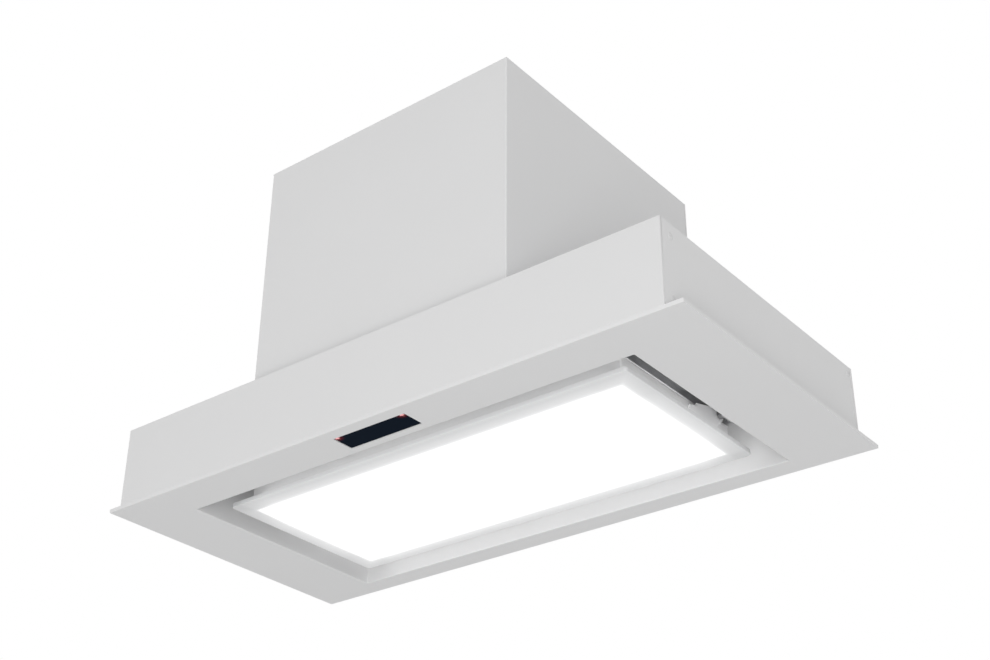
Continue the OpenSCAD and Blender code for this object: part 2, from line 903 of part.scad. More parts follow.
module right_filter_mesh() {
    x0 = filter_split + sheet + air;
    x1 = filter_x1 - sheet - air;
    y0 = filter_y0 + sheet + air;
    y1 = filter_y1 - sheet - air;
    z0 = filter_z0 + sheet;
    z1 = filter_z1 - sheet;
    middle = (z0 + z1) / 2;
    color(steel) {
        difference() {
            block([x0, y0, z0], [x1, y1, z1]);
            block([x0 + rim_w, y0 + rim_w, z0 - cut], [x1 - rim_w, y1 - rim_w, z1 + cut]);
        }
        for (i = [1 : bars_x]) {
            x = x0 + (x1 - x0) * i / (bars_x + 1);
            block([x - bar_w / 2, y0 + 1, middle - eps], [x + bar_w / 2, y1 - 1, z1]);
        }
        for (i = [1 : bars_y]) {
            y = y0 + (y1 - y0) * i / (bars_y + 1);
            block([x0 + 1, y - bar_w / 2, z0], [x1 - 1, y + bar_w / 2, middle]);
        }
    }
}

module left_filter_mesh() {
    mirror([1, 0, 0]) right_filter_mesh();
}

module right_filter_handle() {
    y = filter_y0 + rim_w / 2;
    z = filter_z0 - handle_drop;
    color(steel) {
        for (x = [filter_mid - handle_w / 2, filter_mid + handle_w / 2]) {
            rod_z([x, y, z], handle_drop - eps, handle_r, 32);
            rod_z([x, y, filter_z0 - handle_foot], handle_foot, handle_r + 2, 32);
            translate([x, y, z]) sphere(handle_r, $fn = 32);
        }
        rod_x([filter_mid - handle_w / 2, y, z], handle_w, handle_r, 32);
    }
}

module left_filter_handle() {
    mirror([1, 0, 0]) right_filter_handle();
}

// Blower

// Inner radius of the scroll at an angle about the impeller's axis
function spiral_r(deg) = impeller_r + tongue_gap + scroll_growth * (deg - tongue_deg) / (360 - tongue_deg);

// Outline of the scroll and its neck in Y and Z, grown outwards by a thickness and ending at a height
function scroll_outline(grow, start_deg, top) = concat(
    [
        for (deg = [start_deg : step_deg : 360])
            [blower_y + (spiral_r(deg) + grow) * cos(deg), blower_z + (spiral_r(deg) + grow) * sin(deg)]
    ],
    [
        [neck_y1 + grow + (top - roof_z) * back_lean, top],
        [neck_y0 - grow / sin(neck_deg) - (top - roof_z) / tan(neck_deg), top]
    ]
);

module scroll_band() {
    color(steel) difference() {
        along_x(-scroll_x, scroll_x) polygon(scroll_outline(scroll_t, tongue_deg + step_deg, roof_z));
        along_x(-scroll_x - cut, scroll_x + cut) polygon(scroll_outline(0, tongue_deg, roof_z + cut));
    }
}

module right_scroll_side() {
    color(steel) difference() {
        union() {
            along_x(scroll_x, side_x) polygon(scroll_outline(scroll_t, tongue_deg + step_deg, roof_z));
            rod_x([scroll_x, blower_y, blower_z], scroll_t + lip_h, inlet_r + scroll_t, 96);
        }
        rod_x([scroll_x - cut, blower_y, blower_z], scroll_t + lip_h + 2 * cut, inlet_r, 96);
    }
}

module left_scroll_side() {
    mirror([1, 0, 0]) right_scroll_side();
}

module blower_cradle() {
    leg_x = side_x + cradle_t;
    color(steel) both_sides() {
        block([side_x, upper_y + 2 * sheet, floor_z],
            [side_x + cradle_w, hd - 2 * sheet, floor_z + cradle_t]);
        block([side_x, blower_y - cradle_half, floor_z],
            [leg_x, blower_y + cradle_half, floor_z + cradle_leg]);
    }
}

module impeller() {
    half = impeller_w / 2;
    inner_r = impeller_r - blade_d;
    color(dark_plastic) translate([0, blower_y, blower_z]) rotate([0, 90, 0]) difference() {
        union() {
            translate([0, 0, -disc_t / 2]) cylinder(disc_t, impeller_r, impeller_r, $fn = 96);
            translate([0, 0, hub_x0]) cylinder(hub_x1 - hub_x0, hub_r, hub_r, $fn = 64);
            for (z = [-half, half - rim_t]) translate([0, 0, z]) difference() {
                cylinder(rim_t, impeller_r, impeller_r, $fn = 96);
                translate([0, 0, -cut]) cylinder(rim_t + 2 * cut, inner_r, inner_r, $fn = 96);
            }
            for (i = [0 : blade_n - 1])
                rotate(360 * i / blade_n) translate([inner_r + 1, 0, 1 - half])
                    rotate(-blade_deg) cube([blade_d - 1.5, blade_t, impeller_w - 2]);
        }
        translate([0, 0, hub_x0 - cut])
            cylinder(hub_x1 - hub_x0 + 2 * cut, shaft_r + press_fit, shaft_r + press_fit, $fn = 64);
    }
}

module blower_shaft() {
    color(steel) rod_x([shaft_x0, blower_y, blower_z], mount_x - 1 - shaft_x0, shaft_r);
}

module shaft_collar() {
    color(steel) difference() {
        rod_x([hub_x0 - collar_w, blower_y, blower_z], collar_w, shaft_r + collar_t);
        rod_x([hub_x0 - collar_w - cut, blower_y, blower_z], collar_w + 2 * cut, shaft_r + press_fit);
    }
}

module motor() {
    body_x = motor_x0 + motor_cap;
    color(dark_plastic) difference() {
        union() {
            rod_x([body_x, blower_y, blower_z], mount_x - body_x, motor_r);
            rod_x([motor_x0, blower_y, blower_z], motor_cap + eps, motor_r - motor_step);
        }
        rod_x([motor_x0 - cut, blower_y, blower_z], mount_x - motor_x0 + 2 * cut, shaft_r + pin_fit);
    }
}

module grommet_places() {
    for (turn = mount_turns)
        translate([0, blower_y + grommet_at * cos(turn), blower_z + grommet_at * sin(turn)]) children();
}

module motor_bracket() {
    color(steel) difference() {
        along_x(mount_x, mount_x + mount_t) translate([blower_y, blower_z]) {
            circle(motor_r - motor_step / 2, $fn = 96);
            for (turn = mount_turns)
                rotate(turn) translate([0, -mount_arm_w / 2]) square([grommet_at + grommet_r, mount_arm_w]);
        }
        rod_x([mount_x - cut, blower_y, blower_z], mount_t + 2 * cut, shaft_r + 2);
    }
}

module motor_grommets() {
    color(dark_plastic) grommet_places() rod_x([side_x, 0, 0], mount_x - side_x, grommet_r);
}

module capacitor() {
    at = [-side_x - can_l, blower_y, can_z];
    color("white") {
        rod_x(at, can_l, can_r);
        for (y = [-pole_at, pole_at]) rod_x(at + [-pole_l, y, 0], pole_l + eps, pole_r, 32);
    }
}

// Outlet

module outlet_spigot() {
    ledge_z = flap_z - air - upper_top;
    color(dark_plastic) difference() {
        translate([0, duct_y, upper_top]) rotate_extrude($fn = 128) polygon([
            [wall_r, 0], [spigot_r + foot_w, 0], [spigot_r + foot_w, foot_t], [spigot_r, foot_t],
            [spigot_r, spigot_h], [wall_r, spigot_h], [wall_r, ledge_z],
            [ledge_r, ledge_z], [ledge_r, ledge_z - ledge_t], [wall_r, ledge_z - 2.5 * ledge_t]
        ]);
        rod_y([0, duct_y - spigot_r - cut, rod_z], 2 * (spigot_r + cut), rod_r + press_fit);
        foot_screw_places() rod_z([0, 0, upper_top - cut], foot_t + 2 * cut, screw_r + screw_fit);
    }
}

module spigot_screws() {
    color(steel) foot_screw_places() {
        rod_z([0, 0, roof_z - 3], upper_top + foot_t + eps - roof_z + 3, screw_r);
        rod_z([0, 0, upper_top + foot_t], head_t, head_r);
    }
}

module flap_rod() {
    color(steel) rod_y([0, duct_y - spigot_r + 0.5, rod_z], 2 * spigot_r - 1, rod_r);
}

// One half-round flap on the +X side, with its knuckles from the given start along the rod
module flap(first_knuckle) {
    edge_x = knuckle_r + 0.4;
    length = knuckle_l - knuckle_gap;
    color(dark_plastic) difference() {
        union() {
            intersection() {
                translate([0, duct_y, flap_z]) cylinder(flap_t, flap_r, flap_r, $fn = 128);
                block([edge_x, duct_y - flap_r, flap_z - cut],
                    [flap_r, duct_y + flap_r, flap_z + flap_t + cut]);
            }
            for (i = [0 : 2]) {
                y = duct_y + first_knuckle + 2 * knuckle_l * i;
                rod_y([0, y, rod_z], length, knuckle_r);
                block([rod_r + 0.5, y, flap_z], [edge_x + eps, y + length, flap_z + flap_t]);
            }
        }
        rod_y([0, duct_y - flap_r, rod_z], 2 * flap_r, rod_r + pin_fit);
    }
}

module right_flap() {
    flap(knuckle_gap / 2 - 3 * knuckle_l);
}

module left_flap() {
    mirror([1, 0, 0]) flap(knuckle_gap / 2 - 2 * knuckle_l);
}

// Controls

lens_at = [for (x = [-1, 1]) [x * (control_w / 2 - lens_in), control_y0 + lens_in]];

module control_glass() {
    color("black") difference() {
        block([-control_w / 2, control_y0, control_lift], [control_w / 2, control_y1, control_top]);
        for (at = lens_at) rod_z([at.x, at.y, 0], control_top + cut, lens_r + screw_fit, 48);
    }
}

module indicator_lenses() {
    color("red") for (at = lens_at) rod_z([at.x, at.y, control_lift], control_t, lens_r, 48);
}

module control_housing() {
    x = control_w / 2 + control_margin;
    y0 = control_y0 - housing_front;
    y1 = control_y1 + box_wall;
    window_x = control_w / 2 - window_in;
    room_z = control_top + board_lift;
    color(dark_plastic) difference() {
        block([-x, y0, control_top], [x, y1, control_top + control_box_h]);
        block([box_wall - x, y0 + box_wall, room_z],
            [x - box_wall, y1 - box_wall, control_top + control_box_h - box_wall]);
        block([-window_x, control_y0 + window_front, control_top - cut],
            [window_x, control_y1 - window_in, room_z + cut]);
    }
}

module control_board() {
    x = control_w / 2;
    z0 = control_top + board_lift;
    color(copper_board)
        block([-x, control_y0 + board_in, z0], [x, control_y1 - board_in / 2, z0 + board_t]);
}

module electronics_box() {
    z0 = deck_z - box_h;
    color(dark_plastic) difference() {
        block([-box_x0, box_y0, z0], [-box_x1, box_y1, deck_z]);
        block([-box_x0 + box_wall, box_y0 + box_wall, z0 - cut],
            [-box_x1 - box_wall, box_y1 - box_wall, deck_z - box_wall]);
    }
}

module electronics_lid() {
    color(dark_plastic) block([-box_x0, box_y0, deck_z - box_h - lid_h], [-box_x1, box_y1, deck_z - box_h]);
}

module power_board() {
    play = box_wall + board_gap;
    post_in = play + 2 * post_r;
    z1 = deck_z - box_wall - post_h;
    z0 = z1 - board_t;
    color(copper_board) {
        block([-box_x0 + play, box_y0 + play, z0], [-box_x1 - play, box_y1 - play, z1]);
        for (x = [-box_x0 + post_in, -box_x1 - post_in], y = [box_y0 + post_in, box_y1 - post_in])
            rod_z([x, y, z1 - eps], post_h + eps, post_r, 32);
        translate([-box_x0 + play + coil_in, box_y0 + play + coil_in, z0 - coil_h])
            cube([coil_w, coil_d, coil_h + eps]);
    }
}

module light_driver() {
    z0 = deck_z - driver_h;
    color(paint) difference() {
        block([driver_x0, driver_y0, z0], [driver_x1, driver_y1, deck_z]);
        for (y = [driver_y0 + vent_pitch : vent_pitch : driver_y1 - vent_pitch])
            block([driver_x0 + driver_wall, y - vent_w / 2, z0 - cut],
                [driver_x1 - driver_wall, y + vent_w / 2, z0 + vent_d]);
    }
}

module cable_gland() {
    thread_r = lead_r + gland_wall;
    hex_r = lead_r + gland_hex;
    color(dark_plastic) translate([gland_x, gland_y, 0]) difference() {
        union() {
            rod_z([0, 0, roof_z - gland_tail], gland_tail + sheet + eps, thread_r);
            translate([0, 0, upper_top]) cylinder(gland_nut_h, hex_r, hex_r, $fn = 6);
            rod_z([0, 0, upper_top + gland_nut_h - eps], gland_cap_h + eps, thread_r + 2);
        }
        rod_z([0, 0, roof_z - gland_tail - cut],
            gland_tail + sheet + gland_nut_h + gland_cap_h + 2 * cut, lead_r);
    }
}

module gland_nut() {
    hole_r = lead_r + gland_wall + screw_fit;
    color(dark_plastic) translate([gland_x, gland_y, roof_z - nut_t]) difference() {
        cylinder(nut_t, lead_r + nut_hex, lead_r + nut_hex, $fn = 6);
        translate([0, 0, -cut]) cylinder(nut_t + 2 * cut, hole_r, hole_r, $fn = 64);
    }
}

module inner_leads() {
    start_x = -control_w / 2 - control_margin;
    near_front = control_y0 + lead_in;
    above_sheet = control_top + lead_in;
    under_deck = deck_z - 7;
    control_entry = box_entry - box_x0;
    can_entry = -box_x1 - box_entry;
    can_end = -side_x - can_l;
    color(dark_plastic) {
        wire(rounded([
            [start_x, near_front, above_sheet], [start_x - lead_out, near_front, above_sheet],
            [start_x - 2.4 * lead_out, near_front, above_sheet + lead_climb],
            [start_x - 3.4 * lead_out, near_front, under_deck],
            [control_entry, near_front + 6, under_deck], [control_entry, box_y0, under_deck]
        ], 2 * lead_bend), lead_wire_r, [0, 0, 1], lead_sides);
        wire(rounded([
            [can_end, blower_y, can_z], [can_end - lead_reach, blower_y, can_z],
            [lead_hole.x, lead_hole.y + 4, can_z], [lead_hole.x, lead_hole.y, under_deck],
            [can_entry, lead_hole.y, under_deck], [can_entry, box_y0, under_deck]
        ], lead_bend), lead_wire_r, [0, 0, 1], lead_sides);
    }
}

bottom_frame();
front_panel();
left_side_panel();
right_side_panel();
back_panel();
deck_panel();
side_screws();
upper_shell();
upper_back_panel();
upper_top_panel();
housing_screws();
panel_glass();
panel_tray();
tray_lid();
diffuser();
light_strips();
striker_plates();
left_hinge_arm();
right_hinge_arm();
left_hinge_bracket();
right_hinge_bracket();
hinge_pins();
hinge_springs();
catch_brackets();
catch_magnets();
filter_rails();
filter_magnets();
left_filter_frame();
left_filter_mesh();
left_filter_handle();
right_filter_frame();
right_filter_mesh();
right_filter_handle();
scroll_band();
left_scroll_side();
right_scroll_side();
blower_cradle();
impeller();
blower_shaft();
shaft_collar();
motor();
motor_bracket();
motor_grommets();
capacitor();
outlet_spigot();
spigot_screws();
flap_rod();
left_flap();
right_flap();
control_glass();
indicator_lenses();
control_housing();
control_board();
electronics_box();
electronics_lid();
power_board();
light_driver();
cable_gland();
gland_nut();
inner_leads();
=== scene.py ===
import json
import math

import bmesh
import bpy
from bpy.props import FloatProperty, FloatVectorProperty, IntProperty, PointerProperty
from mathutils import Matrix, Vector


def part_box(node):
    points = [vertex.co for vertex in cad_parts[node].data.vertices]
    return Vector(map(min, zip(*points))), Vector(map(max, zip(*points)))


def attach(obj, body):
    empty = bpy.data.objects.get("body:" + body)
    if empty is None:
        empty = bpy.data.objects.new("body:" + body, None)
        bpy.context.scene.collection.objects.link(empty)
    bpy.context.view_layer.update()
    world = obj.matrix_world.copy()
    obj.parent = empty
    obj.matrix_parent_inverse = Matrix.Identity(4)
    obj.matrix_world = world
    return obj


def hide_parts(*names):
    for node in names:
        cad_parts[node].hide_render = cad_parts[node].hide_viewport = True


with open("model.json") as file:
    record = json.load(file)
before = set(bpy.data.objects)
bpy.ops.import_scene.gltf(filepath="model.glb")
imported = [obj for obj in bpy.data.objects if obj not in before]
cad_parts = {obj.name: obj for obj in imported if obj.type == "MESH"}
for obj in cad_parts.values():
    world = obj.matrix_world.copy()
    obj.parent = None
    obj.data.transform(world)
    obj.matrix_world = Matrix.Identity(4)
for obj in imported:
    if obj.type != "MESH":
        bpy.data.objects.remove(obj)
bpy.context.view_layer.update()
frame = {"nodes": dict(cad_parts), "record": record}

bl_info = {
    "name": "Integrated kitchen hood",
    "version": (1, 0, 0),
    "blender": (4, 5, 0),
    "location": "3D View > Sidebar > Kitchen hood",
    "description": "Dresses the frame of an integrated kitchen hood with its finished pieces",
    "category": "Object",
}

MM = 0.001
BLACK = (0.0, 0.0, 0.0, 1.0)
WHITE = (1.0, 1.0, 1.0, 1.0)
LAMP_PINK = (1.0, 0.46, 0.46, 1.0)
ACROSS_X = (9.0, 1.0, 1.0)  # scale that draws a grain out into lines across x
BODIES = frame["record"]["behaviour"]["bodies"]
BODY_OF = {node: body for body, nodes in BODIES.items() for node in nodes}
SLOT_OF = {node: obj.material_slots[0].material.name for node, obj in frame["nodes"].items()}

# Sizes of the hood in millimetres, where no single node's box gives them
SHEET = 1.0  # thickness of the casing's sheet
OPENING = (231.5, -102.5, 122.0)  # half width, front and back of the opening in the bottom frame
LAP_SIDE = 18.0  # width of the hem's lap at the sides
LAP_FRONT = 6.0  # width of the hem's lap at the front and the back
BLOWER = (0.0, -25.0, 183.6)  # middle of the impeller
PIVOT = (70.0, 30.3)  # y and z of the light panel's pivot
DUCT_Y = 18.0  # y of the outlet's axis
DUCT_R = 74.5  # outer radius of the outlet


# Node graphs

class Wire:
    """An output socket that sums can be written on: each operation adds its Math node."""

    def __init__(self, graph, socket):
        self.graph = graph
        self.socket = socket

    def out(self, name):
        return Wire(self.graph, self.socket.node.outputs[name])

    def __add__(self, other):
        return self.graph.sum("ADD", self, other)

    def __radd__(self, other):
        return self.graph.sum("ADD", other, self)

    def __sub__(self, other):
        return self.graph.sum("SUBTRACT", self, other)

    def __rsub__(self, other):
        return self.graph.sum("SUBTRACT", other, self)

    def __mul__(self, other):
        return self.graph.sum("MULTIPLY", self, other)

    def __rmul__(self, other):
        return self.graph.sum("MULTIPLY", other, self)

    def __truediv__(self, other):
        return self.graph.sum("DIVIDE", self, other)

    def __pow__(self, other):
        return self.graph.sum("POWER", self, other)

    def size(self):
        return self.graph.sum("ABSOLUTE", self)

    def least(self, other):
        return self.graph.sum("MINIMUM", self, other)

    def most(self, other):
        return self.graph.sum("MAXIMUM", self, other)

    def ramp(self, low, high):
        """0 below low, 1 above high, and a smooth step between them."""
        return self.graph.add("ShaderNodeMapRange", {"interpolation_type": "SMOOTHSTEP", "clamp": True},
                              {0: self, 1: low, 2: high, 3: 0.0, 4: 1.0})


class Graph:
    """A node tree that is written as expressions."""

    def __init__(self, tree):
        self.tree = tree

    def add(self, kind, settings=None, sockets=None, out=0):
        """Adds any node: its settings first, then the values or links of its sockets."""
        node = self.tree.nodes.new(kind)
        for key, value in (settings or {}).items():
            if key == "stops":
                ramp = node.color_ramp
                while len(ramp.elements) < len(value):
                    ramp.elements.new(0.5)
                for element, (at, colour) in zip(ramp.elements, value):
                    element.position, element.color = at, colour
            else:
                setattr(node, key, value)
        for key, value in (sockets or {}).items():
            if isinstance(value, Wire):
                self.tree.links.new(value.socket, node.inputs[key])
            else:
                node.inputs[key].default_value = value
        return Wire(self, node.outputs[out]) if node.outputs else node

    def sum(self, operation, *terms):
        return self.add("ShaderNodeMath", {"operation": operation}, dict(enumerate(terms)))

    def place(self):
        return self.add("ShaderNodeTexCoord", out="Object")

    def axes(self, place):
        split = self.add("ShaderNodeSeparateXYZ", sockets={0: place})
        return split, split.out("Y"), split.out("Z")

    def noise(self, place, scale, detail=2.0, roughness=0.5):
        return self.add("ShaderNodeTexNoise", sockets={
            "Vector": place, "Scale": scale, "Detail": detail, "Roughness": roughness})

    def stretched(self, place, scale):
        return self.add("ShaderNodeMapping", sockets={"Vector": place, "Scale": scale})

    def mix(self, factor, first, second):
        return self.add("ShaderNodeMix", {"data_type": "RGBA"}, {0: factor, 6: first, 7: second}, out=2)


def shade(colour, factor):
    """A colour for a socket, lighter or darker by a factor."""
    return tuple(min(1.0, part * factor) for part in colour[:3]) + (1.0,)


def shader_material(name):
    """A new empty material and the graph to write it with."""
    material = bpy.data.materials.new("hood_" + name)
    material.use_nodes = True
    material.node_tree.nodes.clear()
    return material, Graph(material.node_tree)


def close_material(graph, sockets):
    """Ends a material in one Principled shader."""
    surface = graph.add("ShaderNodeBsdfPrincipled", sockets=sockets)
    graph.add("ShaderNodeOutputMaterial", sockets={"Surface": surface})


def bump(graph, height, strength, distance):
    return graph.add("ShaderNodeBump", sockets={
        "Strength": strength, "Distance": distance, "Height": height})


def coated(name, colour, rough, tone=0.02, grain=900.0, strength=0.12, depth=0.00006, metallic=0.0,
           stretch=(1.0, 1.0, 1.0)):
    """A finish with slow colour drift, uneven sheen and a fine grain."""
    patch = 9.0
    material, graph = shader_material(name)
    place = graph.place()
    drift = graph.noise(place, patch, 3.0)
    sheen = graph.noise(place, patch * 4.0, 2.0)
    fine = graph.noise(graph.stretched(place, stretch), grain, 2.0)
    finer = graph.noise(graph.stretched(place, stretch), grain * 2.7, 1.0)
    height = fine * 0.7 + finer * 0.3
    base = graph.mix(drift.ramp(0.3, 0.7), shade(colour, 1.0 - tone), shade(colour, 1.0 + tone))
    close_material(graph, {
        "Base Color": graph.mix(height.ramp(0.35, 0.65) * 0.5, base, shade(colour, 1.0 - 1.5 * tone)),
        "Roughness": rough + (sheen - 0.5) * 0.12 + (fine - 0.5) * 0.1,
        "Metallic": metallic,
        "Normal": bump(graph, height, strength, depth),
    })
    return material


def white_paint(look):
    """Satin powder paint with the faint orange peel of a baked coat."""
    return coated("white_paint", look.paint, look.paint_roughness,
                  tone=0.006, grain=620.0, strength=0.10, depth=0.00005)


def painted_screws(look):
    """The casing's paint on screw heads, a little darker and duller."""
    return coated("painted_screws", shade(look.paint, 0.93), look.paint_roughness + 0.04)


def inner_steel(look):
    """Galvanised sheet: crystals of zinc that each catch the light a little differently."""
    material, graph = shader_material("inner_steel")
    place = graph.place()
    bent = graph.add("ShaderNodeVectorMath", {"operation": "ADD"}, {
        0: place, 1: graph.add("ShaderNodeVectorMath", {"operation": "SCALE"}, {
            0: graph.noise(place, 60.0, 3.0).out("Color"), "Scale": 0.008})})
    crystals = graph.add("ShaderNodeTexVoronoi", sockets={"Vector": bent, "Scale": 110.0}, out="Color")
    crystal = graph.add("ShaderNodeSeparateColor", sockets={0: crystals})
    feather = graph.noise(graph.stretched(place, (1.0, 6.0, 6.0)), 260.0, 3.0)
    steel = look.steel
    base = graph.mix(crystal, shade(steel, 0.86), shade(steel, 1.06))
    close_material(graph, {
        "Base Color": graph.mix(feather.ramp(0.4, 0.7) * 0.4, base, shade(steel, 0.9)),
        "Roughness": 0.36 + crystal * 0.14 + (feather - 0.5) * 0.1,
        "Metallic": 0.85,
        "Normal": bump(graph, crystal * 0.5 + feather * 0.5, 0.1, 0.00005),
    })
    return material


def hinge_steel(look):
    """Zinc-plated sheet with a pale matt passivation."""
    return coated("hinge_steel", (0.92, 0.92, 0.925), 0.5, tone=0.03, grain=700.0, depth=0.00005,
                  metallic=0.1, stretch=(1.0, 1.0, 9.0))


def bracket_steel(look):
    """Raw pressed sheet of the hinge brackets, a little dull, and dark: partly its own colour and partly
    painted shade that holds back the light from the glass's top rim.
    """
    return coated("bracket_steel", (0.44, 0.44, 0.45), 0.5, tone=0.05, grain=800.0, depth=0.00005,
                  metallic=0.2, stretch=ACROSS_X)


def pin_steel(look):
    """Turned steel, blackened and oiled."""
    return coated("pin_steel", (0.2, 0.2, 0.205), 0.36, tone=0.06, grain=1100.0, depth=0.00004,
                  metallic=0.6, stretch=ACROSS_X)


def spring_steel(look):
    """Drawn spring wire, oiled."""
    return coated("spring_steel", (0.3, 0.3, 0.31), 0.34, tone=0.06, grain=1500.0, depth=0.00004,
                  metallic=0.5)


def screw_steel(look):
    """Bright zinc-plated screws."""
    return coated("screw_steel", (0.6, 0.61, 0.63), 0.3, tone=0.05, grain=1500.0, strength=0.15,
                  depth=0.00004, metallic=0.95)


def filter_aluminium(look):
    """Rolled aluminium of the grease filters."""
    return coated("filter_aluminium", (0.72, 0.73, 0.74), 0.33, tone=0.03, strength=0.14, depth=0.00005,
                  metallic=0.9, stretch=ACROSS_X)


def dark_plastic(look):
    """Moulded plastic with an eroded grain."""
    return coated("dark_plastic", (0.028, 0.03, 0.033), 0.52, tone=0.12, grain=1300.0, strength=0.35,
                  depth=0.00008)


def dark_rubber(look):
    """Matt rubber of the motor's mounts."""
    return coated("dark_rubber", (0.022, 0.022, 0.022), 0.78, tone=0.15, grain=1800.0, strength=0.4,
                  depth=0.00008)


def opal_plastic(look):
    """Smooth milky plastic."""
    return coated("opal_plastic", (0.84, 0.84, 0.83), 0.38, tone=0.015, grain=1200.0, strength=0.08,
                  depth=0.00004)


def lead_cover(look):
    """Soft sheath of the inner leads."""
    return coated("lead_cover", (0.05, 0.05, 0.055), 0.5, tone=0.1, grain=1500.0, strength=0.2,
                  depth=0.00005)


def bare_copper(look):
    return coated("bare_copper", (0.72, 0.36, 0.2), 0.3, tone=0.06, grain=1500.0, strength=0.15,
                  depth=0.00004, metallic=0.95)


def lit_glass(look):
    """Frosted light glass: bright under the diffuser, fading over the border, shining from its top rim."""
    material, graph = shader_material("lit_glass")
    place = graph.place()
    x, y, z = graph.axes(place)
    frost = graph.noise(place, 2600.0, 2.0)
    tray_low, tray_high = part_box("panel_tray")
    glass_low, glass_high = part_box("panel_glass")
    along_x = x.ramp(glass_low.x, glass_high.x)
    along_y = y.ramp(glass_low.y, glass_high.y)

    # How far a point lies inside the lit rectangle or beyond its edge
    lit_x = tray_high.x - 2.75 * MM
    lit_y = (tray_high.y - tray_low.y) / 2 - 3.3 * MM
    middle_x = -0.45 * MM
    middle_y = (tray_low.y + tray_high.y) / 2 + 2.1 * MM
    blur = 0.6 * MM
    in_x = lit_x - (x - middle_x).size()
    in_y = lit_y - (y - middle_y).size()
    inside = in_x.least(in_y)
    beyond = (0.0 - inside).most(0.0)
    core = inside.ramp(-blur, blur)

    # The border's glow, which is weaker in the front left and the back right corner
    reach = 14.0 * MM
    far = (1.0 - beyond / reach).most(0.0)
    along = (in_x * 1.6).most(in_y)
    corner = along.ramp(-12.0 * MM, 2.0 * MM) * (0.42 + along.ramp(-10.0 * MM, 45.0 * MM) * 0.58)
    corner = corner.most((along_x * 0.9 - along_y * 0.75).size())
    border = (far ** 9.0 * 0.33 + far * 0.16 + 0.125 + along_y * 0.03) * corner
    below = core * look.glow + (1.0 - core) * border

    # The light that the top rim sheds on the walls of the slot: it grows towards the back and the right,
    # with more on the front wall and on the right wall ahead of the hinge, and less behind the hinge
    front = 1.0 - y.ramp(tray_low.y - 2.0 * MM, tray_low.y)
    front = front * (1.0 - x.size().ramp(tray_high.x - 20.0 * MM, tray_high.x))
    right = x.ramp(tray_high.x - 2.0 * MM, tray_high.x)
    hinged = y.ramp(20.0 * MM, 45.0 * MM)
    share = 0.08 + along_y * (0.8 - along_x * 0.22) + along_x * 0.27
    share = share * (1.0 - right * hinged * 0.3)
    share = share.most(front * (0.74 - along_x * 0.22)).most(right * (1.0 - hinged) * 0.88)
    above = (1.0 - core) * (0.25 + beyond.ramp(0.0, 12.0 * MM) * 0.75) * share

    over = z.ramp(glass_high.z - 0.07 * MM, glass_high.z - 0.03 * MM)
    back_edge = y.ramp(glass_high.y - 0.3 * MM, glass_high.y - 0.1 * MM) * (0.98 - along_x * 0.2)
    glow = (below / look.rim_light) * (1.0 - over) + (above * over).most(back_edge)
    close_material(graph, {
        "Base Color": graph.mix(frost.ramp(0.3, 0.7), (0.67, 0.675, 0.68, 1.0), (0.71, 0.715, 0.72, 1.0)),
        "Roughness": 0.34 + (frost - 0.5) * 0.12,
        "Emission Color": graph.mix(glow, BLACK, WHITE),
        "Emission Strength": look.rim_light,
        "Normal": bump(graph, frost, 0.06, 0.00003),
    })
    return material


def lens_places():
    """Distance of the indicator lenses from the middle of the hood, and their y."""
    low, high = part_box("indicator_lenses")
    return high.x - (high.y - low.y) / 2, (low.y + high.y) / 2


def lamp_distance(graph, place, long, wide):
    """Distance from the middle of an indicator's light, in units of its half length and half width."""
    x, y, _ = graph.axes(place)
    at_x, at_y = lens_places()
    lamp_y = at_y - 2.0 * MM
    off_x = (x.size() - at_x) / long
    off_y = (y - lamp_y) / wide
    return (off_x * off_x + off_y * off_y) ** 0.5


def lamp_spot(graph, place):
    """1 on the bright spot of an indicator's light, 0 away from it."""
    return 1.0 - lamp_distance(graph, place, 2.9 * MM, 1.6 * MM).ramp(0.45, 1.0)


def black_glass(look):
    """Black touch glass with a dark red bloom round each indicator."""
    material, graph = shader_material("black_glass")
    place = graph.place()
    bloom = 1.0 - lamp_distance(graph, place, 7.5 * MM, 6.0 * MM).ramp(0.15, 1.0)
    smear = graph.noise(place, 70.0, 3.0)
    halo = graph.mix(bloom, BLACK, (0.09, 0.004, 0.005, 1.0))
    close_material(graph, {
        "Base Color": graph.mix(smear, (0.0006, 0.0048, 0.0130, 1.0), (0.0015, 0.0066, 0.0155, 1.0)),
        "Roughness": 0.1 + smear * 0.06,
        "IOR": 1.06,
        "Emission Color": graph.mix(lamp_spot(graph, place), halo, LAMP_PINK),
        "Emission Strength": 1.0,
        "Normal": bump(graph, smear, 0.02, 0.00003),
    })
    return material


def red_lens(look):
    """A lit red lens, nearly white where its lamp sits behind the front edge."""
    material, graph = shader_material("red_lens")
    place = graph.place()
    ripple = graph.noise(place, 3000.0, 1.0)
    close_material(graph, {
        "Base Color": graph.mix(ripple, (0.035, 0.004, 0.004, 1.0), (0.05, 0.005, 0.005, 1.0)),
        "Roughness": 0.22 + ripple * 0.1,
        "IOR": 1.2,
        "Emission Color": graph.mix(lamp_spot(graph, place), (0.06, 0.004, 0.004, 1.0), LAMP_PINK),
        "Emission Strength": 1.0,
        "Normal": bump(graph, ripple, 0.1, 0.00005),
    })
    return material


